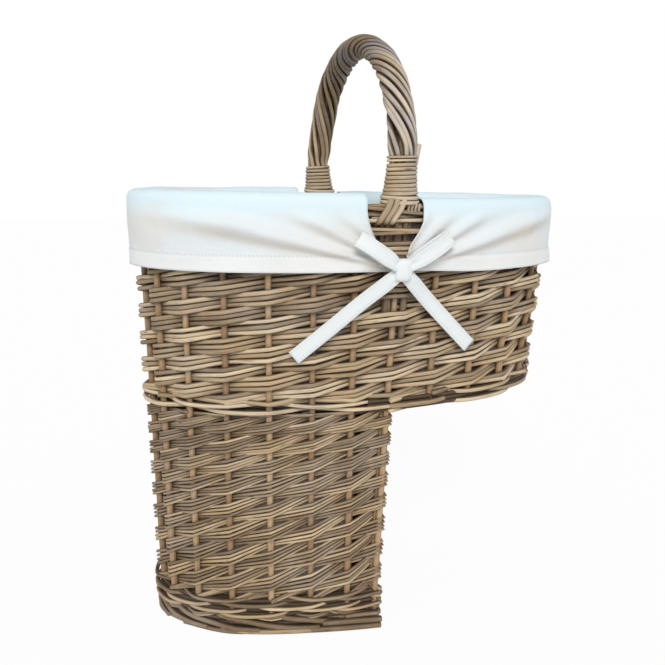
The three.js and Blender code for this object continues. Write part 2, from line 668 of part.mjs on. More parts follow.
// Woven base panels: bands across, over and under the sticks, joined at alternate ends where each turns back
function panel(low, startX, endX, widthAt) {
  const level = low + 2 * PANEL_BAND + 2 * PANEL_STICK_RADIUS + 2 * CLEAR;
  const middle = (low + level) / 2;
  const rise = PANEL_STICK_RADIUS + CLEAR + PANEL_BAND / 2;
  const corners = [[-1, -1], [1, -1], [1, 1], [-1, 1]];
  const stickShares = Array.from({ length: PANEL_STICKS }, (_, n) => (2 * (n + 1)) / (PANEL_STICKS + 1) - 1);
  const sticks = stickShares.map((share) => share * widthAt(startX));
  const bands = Math.floor(Math.abs(endX - startX) / PANEL_PITCH);
  const step = (endX - startX) / bands;
  const bandWidth = Math.abs(step) - 2 * CLEAR;
  const pieces = [];
  for (let n = 0; n < bands; n += 1) {
    const x = startX + step * (n + 0.5);
    const reach = Math.min(widthAt(x - step / 2), widthAt(x + step / 2));
    const crossed = sticks.filter((y) => Math.abs(y) < reach - PANEL_STICK_RADIUS - PANEL_BAND);
    const waves = crossed.map((y, i) => [y, (i + n) % 2 === 0 ? rise : -rise]);
    const knots = [[-reach, 0], ...waves, [reach, 0]];
    const flat = n === 0 ? knots.map(([y]) => [y, 0]) : knots;
    const half = n === 0 ? level / 2 - low / 2 : PANEL_BAND / 2;
    pieces.push(loft(flat.map(([y, lift]) => corners.map(([u, v]) => (
      new THREE.Vector3(x + (u * bandWidth) / 2, y, middle + lift + v * half)
    )))));
    if (n > 0) {
      const side = n % 2 === 0 ? 1 : -1;
      const edge = Math.min(reach, widthAt(x - step * 1.5), widthAt(x - step / 2));
      const turnX = x - step / 2;
      const turnHalf = bandWidth / 4 + CLEAR;
      pieces.push(loft([low, level].map((z) => corners.map(([u, v]) => (
        new THREE.Vector3(turnX + u * turnHalf, side * (edge - PANEL_BAND) + (v * PANEL_BAND) / 2, z)
      )))));
    }
  }
  for (const y of sticks) {
    const start = startX + step / 2;
    const places = Array.from({ length: 100 }, (_, n) => mix(start, endX, n / 100));
    const end = places.findLast((x) => widthAt(x) > Math.abs(y) + PANEL_STICK_RADIUS);
    pieces.push(tube([start, end].map((x) => new THREE.Vector3(x, y, middle)), PANEL_STICK_RADIUS, 6));
  }
  return join(pieces);
}

const panelInset = BORDER_WIDTH / 2 + CLEAR;
const insideWidth = (a, b, fullness) => (x) => (
  b * Math.max(0, 1 - Math.abs(x / a) ** fullness) ** (1 / fullness)
);
const legLength = FOOT_HALF_LENGTH - panelInset;
const legPanelWidth = insideWidth(legLength, FOOT_HALF_WIDTH - panelInset, LEG_END_FULLNESS);
const legPanelStart = riserX(0) - panelInset;
const legPanel = panel(LEG_PANEL_HEIGHT, legPanelStart, -PANEL_REACH * legLength, legPanelWidth);
addMesh('leg_base', legPanel, WILLOW);
const shelfInset = STAKE_RADIUS + CLEAR + WALE_BAND + CLEAR;
const shelfLength = halfLength(LEG_HEIGHT) - shelfInset;
const shelfPanelWidth = insideWidth(shelfLength, halfWidth(LEG_HEIGHT) - shelfInset, SHELF_END_FULLNESS);
const shelfPanelEnd = PANEL_REACH * shelfLength;
const shelfPanelStart = riserX(LEG_HEIGHT) - STAKE_RADIUS;
const shelfPanel = panel(LEG_HEIGHT + CLEAR, shelfPanelStart, shelfPanelEnd, shelfPanelWidth);
addMesh('shelf_base', shelfPanel, WILLOW);

// Liner bag: cotton that hangs inside both the leg and the shelf, in shallow upright folds
const bodyReach = Math.max(...bandReaches(bodyStops, BODY_BAND)) + BODY_BAND / 2;
const legReach = Math.max(...bandReaches(legStops, LEG_BAND)) + LEG_BAND / 2;
const linerInset = Math.max(bodyReach, legReach, BORDER_WIDTH / 2) + CLEAR;
const cuffOffset = Math.max(bodyReach, BORDER_WIDTH / 2) + CLEAR;
const panelHeight = 2 * (PANEL_BAND + PANEL_STICK_RADIUS + CLEAR);
const legFloor = LEG_PANEL_HEIGHT + panelHeight + CLEAR;
const shelfFloor = LEG_HEIGHT + CLEAR + panelHeight + CLEAR;
const bagTop = RIM_HEIGHT - CUFF_TUCK - CLEAR;

function bagOutline(places, inset, levels) {
  const folds = Math.round(places.length / 4);
  const wave = (i) => Math.cos((2 * Math.PI * folds * i) / places.length);
  const ripple = (i) => (LINER_FOLD_DEPTH / 2) * (1 - wave(i));
  const ring = (z) => places.map((place, i) => wallPoint(place, z, -inset - ripple(i)));
  return toSolid(loft(levels.map(ring)));
}

function bagSolid(inset, low, shelf, top) {
  const bodySteps = 4 * LINER_FOLDS;
  const bodyAngles = Array.from({ length: bodySteps }, (_, n) => (2 * Math.PI * n) / bodySteps);
  const bodyPlaces = bodyAngles.map((angle) => (z) => oval(angle, z));
  const ends = Math.asin((inset - riserX(low)) / FOOT_HALF_LENGTH);
  const legSteps = 2 * LINER_FOLDS;
  const legPlaces = Array.from({ length: legSteps + 1 }, (_, n) => {
    const angle = mix(FRONT - ends, BACK + ends, n / legSteps);
    return (z) => oval(angle, z);
  });
  const body = bagOutline(bodyPlaces, inset, [shelf, top]);
  return body.add(bagOutline(legPlaces, inset, [low, shelf + CLOTH / 2]));
}

const bagOuter = bagSolid(linerInset, legFloor, shelfFloor, bagTop);
const bagInner = bagSolid(linerInset + CLOTH, legFloor + CLOTH, shelfFloor + CLOTH, bagTop + CLOTH);
addMesh('liner_bag', toGeometry(bagOuter.subtract(bagInner)), COTTON);

// Cuffs: the liner's top turned out over the rim, one half to each side of the handle
const hemHeight = RIM_HEIGHT - CUFF_DROP;
const knotHeight = hemHeight + KNOT_LIFT;
const cuffTop = RIM_HEIGHT + CUFF_LOFT;

function notchX(direction, z) {
  const open = smooth(z, knotHeight + KNOT_LIFT, borderLow + LASHING_RADIUS * 2);
  return mix(KNOT_X + (direction * KNOT_GAP) / 2, NOTCH_X + direction * NOTCH_HALF_WIDTH, open);
}

function angleAt(x, z) {
  const fullness = x < 0 ? LEG_END_FULLNESS : SHELF_END_FULLNESS;
  return Math.acos(Math.sign(x) * Math.abs(x / halfLength(z)) ** (fullness / 2));
}

// Folds that the bow pulls into the cloth, and that die out along the cuff
function cuffFold(x, z) {
  const across = Math.abs(x - KNOT_X);
  const rise = z - knotHeight;
  const bearing = Math.atan2(Math.max(rise, 0), across);
  const away = Math.hypot(across, rise);
  const fadeIn = smooth(away, CUFF_FOLD_START, CUFF_FOLD_FULL);
  const fadeOut = 1 - smooth(away, CUFF_FOLD_FADES, CUFF_FOLD_END);
  const ridges = CUFF_FOLD_ANGLES.map((angle) => Math.exp(-(((bearing - angle) / CUFF_FOLD_SPREAD) ** 2)));
  return CUFF_FOLD_DEPTH * fadeIn * fadeOut * Math.min(1, ridges.reduce((sum, value) => sum + value, 0));
}

// Pairs of an offset from the stake line and a height, from the tucked-in edge over the rim to the hem
function cuffLevels() {
  const inner = -linerInset;
  const flap = (share) => [cuffOffset, mix(RIM_HEIGHT, hemHeight, share), 1];
  return [
    [inner, RIM_HEIGHT - CUFF_TUCK, 0],
    [inner, cuffTop - CUFF_LOFT / 2, 0],
    [inner + CUFF_LOFT / 2, cuffTop, 0],
    [cuffOffset - CUFF_LOFT / 2, cuffTop, 0],
    [cuffOffset, cuffTop - CUFF_LOFT / 2, 0],
    flap(0.3),
    flap(0.55),
    [cuffOffset, hemHeight + HEM_HEIGHT, 1],
    [cuffOffset, hemHeight, 1],
  ];
}

function cuff(direction) {
  const levels = cuffLevels();
  const normals = levels.map((_, i) => {
    const before = levels[Math.max(i - 1, 0)];
    const after = levels[Math.min(i + 1, levels.length - 1)];
    return new THREE.Vector2(before[1] - after[1], after[0] - before[0]).normalize();
  });
  const point = (u, [offset, z, folded], normal, thickness) => {
    const notchZ = offset < cuffOffset ? RIM_HEIGHT : z;
    const end = angleAt(notchX(direction, notchZ), notchZ);
    const angle = direction < 0 ? mix(end, 2 * Math.PI - end, u) : mix(-end, end, u);
    const out = offset + folded * cuffFold(oval(angle, z).x, z) + normal.x * thickness;
    return wallPoint((height) => oval(angle, height), z, out).setZ(z + normal.y * thickness);
  };
  const skin = (thickness) => Array.from({ length: CUFF_STEPS + 1 }, (_, u) => levels.map((level, v) => {
    const hem = thickness > 0 && v >= levels.length - 2 ? HEM_EXTRA : 0;
    return point(u / CUFF_STEPS, level, normals[v], thickness + hem);
  }));
  return thickSheet(skin(CLOTH), skin(0));
}

// Closed body between two grids of points that face each other
function thickSheet(front, back) {
  const rows = front.length;
  const columns = front[0].length;
  const positions = [...front.flat(), ...back.flat()].flatMap((p) => p.toArray());
  const index = (sheet, u, v) => (sheet * rows + u) * columns + v;
  const faces = [];
  const quad = (a, b, c, d) => faces.push(a, b, c, a, c, d);
  for (let u = 0; u + 1 < rows; u += 1) {
    for (let v = 0; v + 1 < columns; v += 1) {
      quad(index(0, u, v), index(0, u + 1, v), index(0, u + 1, v + 1), index(0, u, v + 1));
      quad(index(1, u, v), index(1, u, v + 1), index(1, u + 1, v + 1), index(1, u + 1, v));
    }
    quad(index(0, u, 0), index(1, u, 0), index(1, u + 1, 0), index(0, u + 1, 0));
    const last = columns - 1;
    quad(index(0, u, last), index(0, u + 1, last), index(1, u + 1, last), index(1, u, last));
  }
  for (let v = 0; v + 1 < columns; v += 1) {
    quad(index(0, 0, v), index(0, 0, v + 1), index(1, 0, v + 1), index(1, 0, v));
    const last = rows - 1;
    quad(index(0, last, v), index(1, last, v), index(1, last, v + 1), index(0, last, v + 1));
  }
  if (signedVolume(positions, faces) < 0) {
    faces.reverse();
  }
  const geometry = new THREE.BufferGeometry();
  geometry.setAttribute('position', new THREE.Float32BufferAttribute(positions, 3));
  geometry.setIndex(faces);
  return geometry;
}

addMesh('liner_cuff_leg_end', cuff(-1), COTTON);
addMesh('liner_cuff_shelf_end', cuff(1), COTTON);

// Bows
const cuffFace = cuffOffset + CLOTH + HEM_EXTRA;
const ribbonRest = cuffFace + CUFF_FOLD_DEPTH + CLEAR + RIBBON / 2;
const knotSides = 10;
const knotBore = CLEAR / Math.cos(Math.PI / knotSides) + CLEAR;
const knotOut = cuffFace + CLEAR + RIBBON + knotBore + KNOT_HALF_DEPTH;

// A place on the front or back wall at a distance across and up from the knot
function wallAcross(side, across, up, out) {
  const x = KNOT_X + across;
  const z = knotHeight + up;
  const angle = angleAt(x, z);
  return wallPoint((height) => oval(side < 0 ? -angle : angle, height), z, out);
}

// A flat ribbon along a row of points, narrower at the ends that run into the knot
function ribbonBody(points, wide, halfWidths) {
  return loft(points.map((point, i) => {
    const ahead = points[Math.min(i + 1, points.length - 1)];
    const behind = points[Math.max(i - 1, 0)];
    const tangent = ahead.clone().sub(behind).normalize();
    const across = wide.clone().addScaledVector(tangent, -tangent.dot(wide)).normalize();
    const thick = tangent.clone().cross(across);
    return [[-1, -1], [1, -1], [1, 1], [-1, 1]].map(([a, b]) => (
      point.clone().addScaledVector(across, a * halfWidths[i]).addScaledVector(thick, (b * RIBBON) / 2)
    ));
  }));
}

// Points of a ribbon given by pairs of an offset out of the wall and a share of the reach from the knot
function ribbonRoute(side, [across, up], start, route) {
  const reach = Math.hypot(across, up);
  const points = route.map(([out, share]) => {
    const along = mix(start / reach, 1, share);
    return wallAcross(side, across * along, up * along, out);
  });
  const wide = new THREE.Vector3(-up, 0, across).normalize();
  const width = (share) => mix(RIBBON_WIDTH_AT_KNOT, RIBBON_WIDTH, smooth(share, 0, 0.3));
  const halfWidths = route.map(([, share]) => width(share) / 2);
  return ribbonBody(points, wide, halfWidths);
}

function bowLoop(side, toTip, start) {
  const over = ribbonRest + LOOP_OPENING;
  return ribbonRoute(side, toTip, start, [
    [knotOut - RIBBON, 0],
    [ribbonRest, 0.35],
    [ribbonRest, 0.9],
    [mix(ribbonRest, over, 0.5), 1],
    [over, 0.9],
    [over, 0.35],
    [knotOut + RIBBON, 0],
  ]);
}

function bowTail(side, toTip, start) {
  const onWall = bodyReach + CLEAR + RIBBON;
  return ribbonRoute(side, toTip, start, [
    [knotOut, 0],
    [mix(knotOut, onWall, 0.5), 0.12],
    [onWall, 0.35],
    [onWall, 0.6],
    [onWall, 0.8],
    [onWall, 1],
  ]);
}

// The knot: the leg end's tie runs as a core into a cup made by the shelf end's tie, which wraps round it
const knotCentre = (side) => wallAcross(side, 0, 0, knotOut);

function knotCore(side) {
  const core = new THREE.SphereGeometry(1, 8, 6);
  core.deleteAttribute('normal');
  core.deleteAttribute('uv');
  core.scale(GATHER_HALF_LENGTH, KNOT_HALF_DEPTH, KNOT_HALF_HEIGHT);
  const middle = knotCentre(side);
  return mergeVertices(core.translate(middle.x - GATHER_HALF_LENGTH, middle.y, middle.z));
}

function knotCup(side) {
  const middle = knotCentre(side);
  const section = (x, grow) => polygon(1, knotSides).map(([a, b]) => new THREE.Vector3(
    middle.x + x,
    middle.y + a * (KNOT_HALF_DEPTH + grow),
    middle.z + b * (KNOT_HALF_HEIGHT + grow),
  ));
  const plug = (from, to, grow) => toSolid(loft([section(from, grow), section(to, grow)]));
  const half = KNOT_HALF_LENGTH;
  return toGeometry(plug(-half, half, knotBore + RIBBON).subtract(plug(-2 * half, half - RIBBON, knotBore)));
}

for (const [name, side] of [['front', -1], ['back', 1]]) {
  const coreStart = KNOT_HALF_LENGTH + RIBBON_WIDTH_AT_KNOT / 2 + 2 * CLEAR;
  const cupStart = 1.1 * KNOT_HALF_LENGTH;
  const legTie = [
    knotCore(side),
    bowLoop(side, [-LEG_LOOP_REACH, LEG_LOOP_RISE], coreStart),
    bowTail(side, [-LEG_TAIL_REACH, -LEG_TAIL_DROP], coreStart),
  ];
  const shelfTie = [
    knotCup(side),
    bowLoop(side, [SHELF_LOOP_REACH, SHELF_LOOP_RISE], cupStart),
    bowTail(side, [SHELF_TAIL_REACH, -SHELF_TAIL_DROP], cupStart),
  ];
  addMesh(`bow_${name}_leg_end`, join(legTie), COTTON);
  addMesh(`bow_${name}_shelf_end`, join(shelfTie), COTTON);
}

export default group;
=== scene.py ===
"""Stair basket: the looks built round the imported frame. Sizes are in millimetres until a mesh is made."""

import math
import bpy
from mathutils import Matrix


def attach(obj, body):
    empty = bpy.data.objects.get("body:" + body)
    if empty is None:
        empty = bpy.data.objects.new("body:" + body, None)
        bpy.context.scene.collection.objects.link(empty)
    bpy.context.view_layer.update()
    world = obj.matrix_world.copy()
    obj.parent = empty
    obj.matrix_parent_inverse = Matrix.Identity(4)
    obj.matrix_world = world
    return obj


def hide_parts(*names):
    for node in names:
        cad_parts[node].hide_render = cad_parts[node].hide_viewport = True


bl_info = {
    "name": "Stair Basket",
    "version": (1, 0, 0),
    "blender": (4, 5, 0),
    "location": "3D View > Sidebar > Stair Basket",
    "description": "Willow rods, borders, a twisted handle and a cotton liner on the stair basket's frame",
    "category": "Add Mesh",
}

import bmesh
import bpy
import numpy as np
from bpy.props import FloatProperty, FloatVectorProperty, PointerProperty
from mathutils import Matrix, Vector, noise

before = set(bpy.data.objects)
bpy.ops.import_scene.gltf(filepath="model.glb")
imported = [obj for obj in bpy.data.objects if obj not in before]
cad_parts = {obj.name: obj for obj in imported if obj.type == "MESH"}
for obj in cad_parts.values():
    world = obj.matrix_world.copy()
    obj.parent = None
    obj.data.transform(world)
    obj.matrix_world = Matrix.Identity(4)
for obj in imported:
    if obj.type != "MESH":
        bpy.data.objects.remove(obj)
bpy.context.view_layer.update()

MM = 0.001
BODY = "root"

# Wall of the basket: the stake line at the floor and at the rim
FOOT_HALF_LENGTH = 193
FOOT_HALF_WIDTH = 89.5
RIM_HALF_LENGTH = 202
RIM_HALF_WIDTH = 96
RIM_HEIGHT = 400
LEG_FULLNESS = 2.0
SHELF_FULLNESS = 2.2
RISER_FOOT_X = -6
RISER_RIM_X = 5
STAKE_CROWDING = 0.037
SHELF_BULGE = 4.5
FRONT = 1.5 * math.pi
BACK = 0.5 * math.pi

# Heights of the layers
STAKE_LOW = 12
STAKE_HIGH = 388
LEG_WEAVE_LOW = 32
LEG_TOP = 219
WAIST_TOP = 227
BODY_WEAVE_TOP = 367.9
PAIRING_LOW = 375.4
PAIRING_TOP = 380.4
SHELF_STAKE_LOW = 221

# Stakes and weave
STAKE = 2.95
LEG_STARTS = 19
BODY_STARTS = 11
LEG_ROW = 12.9
LEG_ROW_LOSS = 0.16
LEG_WIDEST_ROW = 1.5
LEG_WIDEST_HEIGHT = 66.1
BODY_ROW = 12.55
BODY_FIRST_ROW = 220.6
STRAND_PAST = 5.5  # how far past the edge of its layer a strand still counts; it is then held at the edge
ROD_GAP = 0.3
PACKING_SHADE_TINT = -0.6  # tint that paints shade on the packing rods behind the open weave, dark as if in shadow
PACKING_STEP = 4.3

# Handle
HANDLE_X = 1.5
HANDLE_FOOT_OFFSET = 8.05
HANDLE_FOOT_RADIUS = 4.5
HANDLE_FOOT_LOW = 303
SIDE_ROD_LOW = 280
SIDE_ROD_OFFSET = 9
HANDLE_HALF_SPAN = 103
HANDLE_RISE = 101.4
HANDLE_FLATNESS = 0.79
TWIST_RODS = 10
TWIST_ROD = 2.45
LAY_RADIUS = 9.2
LAY_ANGLES = ((-103, -85, -45, 0, 45, 90, 103), (24, 27, 36, 38, 34, 18, 13))
BOUND_LAY = 13
LASHING_X = -3.8
COLLAR_HEIGHT = 403.1
BINDING_LOW = 407.35
BINDING_HIGH = 438.85
BINDING_ROD = 1.9
LASHING_ROD = 2.6
COLLAR_ROD = 2.0

# Liner
HEM_HEIGHT = 344.5
KNOT_HEIGHT = 346.7
KNOT_X = 0
CUFF_OUT = 10.6
CUFF_IN = -11.0
HEM_WIDTH = 13
STITCH_WIDTH = 13.5
STITCH_SPAN = 26  # millimetres of cloth across the pattern of one hem
KNOT_OUT = 19.5
KNOT_HALF_SIZE = (8.0, 5.6, 9.8)
BAG_INSET = 10.2
BAG_SHELF_INSET = 0.7
BAG_FOLDS = 9
BAG_FOLD_DEPTH = 1.3
BAG_TOP = 386
BAG_SHELF = 231.5
BAG_FLOOR = 13.8
BAG_OFF_RISER = 16

# Colours of a finish that no setting holds
REDDISH = (0.4, 0.235, 0.118)
NEAR_GREY = (0.27, 0.25, 0.236)
FAR_GREY = (0.5, 0.455, 0.425)
# Painted highlight: cool white for the cuffs' top
SKY_HIGHLIGHT_WHITE = (0.7, 0.86, 0.92)
# Painted shade for the creases gathered round the knot
GATHERED_CREASE_SHADE = (0.66, 0.55, 0.42)
# Painted shadow under the cuffs' folds
FOLD_SHADOW_CREAM = (0.6, 0.5, 0.38)
# Painted shade on the bag's outside, inside the basket
BAG_PAINTED_SHADE = (0.23, 0.17, 0.115)
KEY_COLOUR = (1.0, 0.985, 0.96)
ROOM_COLOUR = (0.96, 0.98, 1.0)
WHITE = (1.0, 1.0, 1.0)

# Camera fitted to the photograph
PICTURE = 665
FOCAL_PIXELS = 707.515
SHIFT_PIXELS = -1.2
SENSOR = 36
CAMERA_PLACE = (-263.57, -651.09, 425.87)
CAMERA_RIGHT = (0.93743, -0.34778, 0.01655)
CAMERA_BACK = (-0.34281, -0.91364, 0.21852)
KEY_FROM = (-0.28, -0.8, 0.62)
KEY_SPREAD = 28
FLOOR_HALF_SIZE = 6  # metres
FLOOR_DROP = 0.0004
FLOOR_PALENESS = 0.94  # share of the floor that the camera sees as white as the room


# Sizes and colours that a user may change


def length_setting(name, description, size):
    return FloatProperty(name=name, description=description, default=size * MM, unit="LENGTH")


def colour_setting(name, description, colour):
    return FloatVectorProperty(name=name, description=description, default=colour, subtype="COLOR")


class WillowSettings(bpy.types.PropertyGroup):
    stake_radius: length_setting("Stake radius", "Half the thickness of an upright stake", STAKE)
    leg_rod: length_setting("Leg rod radius", "Half the thickness of a weaving rod in the leg", 1.46)
    body_rod: length_setting("Body rod radius", "Half the thickness of a weaving rod above the leg", 2.3)
    dark: colour_setting("Dark", "Darkest brown of the willow", (0.1, 0.062, 0.034))
    shade: colour_setting("Shade", "Weathered grey-brown of the willow", (0.275, 0.196, 0.12))
    tan: colour_setting("Tan", "Warm tan of the willow", (0.5, 0.362, 0.21))
    pale: colour_setting("Pale", "Palest, yellowest rods", (0.73, 0.585, 0.4))
    wash: colour_setting("Wash", "Grey wash left on the rods", (0.47, 0.405, 0.34))


class CottonSettings(bpy.types.PropertyGroup):
    colour: colour_setting("Colour", "Colour of the liner's cloth", (0.75, 0.756, 0.745))
    tie_colour: colour_setting("Tie colour", "Colour of the bows", (0.79, 0.832, 0.845))
    thickness: length_setting("Thickness", "Thickness of the cotton cloth", 1.1)
    ribbon: length_setting("Tie width", "Width of a tie of the bow", 13.5)


class StageSettings(bpy.types.PropertyGroup):
    key: FloatProperty(name="Key light", description="Strength of the soft key light", default=1.9)
    fill: FloatProperty(name="Fill light", description="Strength of the light from all round", default=0.54)
    floor: colour_setting("Floor", "Colour of the floor", (0.9, 0.9, 0.9))


# Wall and stakes


def smooth(value, low, high):
    t = np.clip((value - low) / (high - low), 0, 1)
    return t * t * (3 - 2 * t)


def flared(foot, rim, z):
    """Size of the basket at a height, from its sizes at the floor and at the rim."""
    return foot + (rim - foot) * z / RIM_HEIGHT


def half_width(z):
    return flared(FOOT_HALF_WIDTH, RIM_HALF_WIDTH, z)


def half_length(z):
    return flared(FOOT_HALF_LENGTH, RIM_HALF_LENGTH, z)


def riser_x(z):
    return flared(RISER_FOOT_X, RISER_RIM_X, z)


def foot_x(z):
    """Where the handle's bow stands, beside the corner stake."""
    return riser_x(z) - HANDLE_FOOT_OFFSET


def signed_power(value, power):
    return math.copysign(abs(value) ** power, value)


def oval(angle, z):
    """Point of the stake line at an angle and height, with its outward normal."""
    c, s = math.cos(angle), math.sin(angle)
    full = LEG_FULLNESS if c < 0 else SHELF_FULLNESS
    a, b = half_length(z), half_width(z)
    a += SHELF_BULGE * smooth(c, 0.2, 0.9) * smooth(z, 236, 320) * (1 - smooth(z, 344, 372))
    along, across = signed_power(c, 2 / full), signed_power(s, 2 / full)
    nx, ny = signed_power(along, full - 1) / a, signed_power(across, full - 1) / b
    size = math.hypot(nx, ny)
    return a * along, b * across, nx / size, ny / size


def run_lengths(points):
    """Distance along a path at each of its points."""
    return np.concatenate([[0], np.cumsum(np.linalg.norm(np.diff(points, axis=0), axis=1))])


def directions(path):
    """Step from the point before to the point after, at each point of a path."""
    return np.vstack([path[1:], path[-1:]]) - np.vstack([path[:1], path[:-1]])


def unit(rows):
    return rows / np.linalg.norm(rows, axis=1)[:, None]


def path_through(points, steps, straight=0.0):
    """Smooth path through points; straight, from 0 to 1, turns its bends into corners."""
    p = np.asarray(points, float)
    lean = directions(p) / 2
    t = np.linspace(0, 1, steps, endpoint=False)[None, :, None]
    a, b, m, n = p[:-1, None], p[1:, None], lean[:-1, None], lean[1:, None]
    bent = (
        a * (2 * t**3 - 3 * t**2 + 1)
        + m * (t**3 - 2 * t**2 + t)
        + b * (3 * t**2 - 2 * t**3)
        + n * (t**3 - t**2)
    )
    rows = bent * (1 - straight) + (a + (b - a) * t) * straight
    return np.vstack([rows.reshape(-1, 3), p[-1:]])


def spread(start, stop, count, crowding=0.0):
    """Angles that divide the rim between two others, evenly or crowded towards the middle."""
    angles = np.linspace(start, stop, 601)
    lengths = run_lengths(np.array([oval(a, RIM_HEIGHT)[:2] for a in angles]))
    even = np.arange(1, count + 1) / (count + 1)
    wanted = even + crowding * np.sin(np.pi * even) ** 2 * np.sin(2 * np.pi * even)
    return list(np.interp(lengths[-1] * wanted, lengths, angles))


class Post:
    """An upright that rods pass: its place and outward normal at each height, and its radius."""

    def __init__(self, place, radius):
        self.place = place
        self.radius = radius

    def point(self, z, out):
        x, y, nx, ny = self.place(z)
        return (x + nx * out, y + ny * out, z)


def oval_post(angle, radius=STAKE):
    return Post(lambda z: oval(angle, z), radius)


def side_post(side, x_at, radius=STAKE):
    return Post(lambda z: (x_at(z), side * half_width(z), 0, side), radius)


def corner_post(side):
    lean = math.sqrt(0.5)
    return Post(lambda z: (riser_x(z), side * half_width(z), lean, side * lean), STAKE)


def riser_post(share):
    return Post(lambda z: (riser_x(z), share * half_width(z), 1, 0), STAKE)


leg_posts = [oval_post(a) for a in spread(FRONT, BACK, 13, STAKE_CROWDING)]
shelf_posts = [oval_post(a) for a in spread(BACK, -BACK, 10)]
riser_posts = [riser_post(share) for share in (0.6, 0.2, -0.2, -0.6)]
corner_posts = {side: side_post(side, riser_x) for side in (1, -1)}

# The loops start at the front corner and run towards the shelf end, the way the strands climb
leg_loop = [[post] for post in [corner_post(-1)] + riser_posts[::-1] + [corner_post(1)] + leg_posts[::-1]]
shelf_loop = [[post] for post in [corner_posts[-1]] + shelf_posts[::-1] + [corner_posts[1]]]


def body_loop(z):
    """The posts above the shelf's floor; the handle's foot and the rods beside it count as one wide post."""

    def handle(side):
        if z < SIDE_ROD_LOW:
            return [side_post(side, riser_x)]
        first = foot_x if z > HANDLE_FOOT_LOW else riser_x
        return [side_post(side, first, HANDLE_FOOT_RADIUS), side_post(side, lambda z: riser_x(z) + 8.5)]

    front = [[post] for post in shelf_posts[::-1]]
    back = [[post] for post in leg_posts[::-1]]
    return [handle(-1)] + front + [handle(1)[::-1]] + back


def oval_run(z, out, start, stop, count):
    """Run round the oval at one height, inside or outside the stake line."""
    return [oval_post(a).point(z, out) for a in np.linspace(start, stop, count)]


def leg_ring(z, out):
    """Closed run round the leg, inside or outside its stakes."""
    posts = [group[0] for group in leg_loop]
    return path_through([post.point(z, out) for post in posts + posts[:1]], 5, 0.3)


# Rods


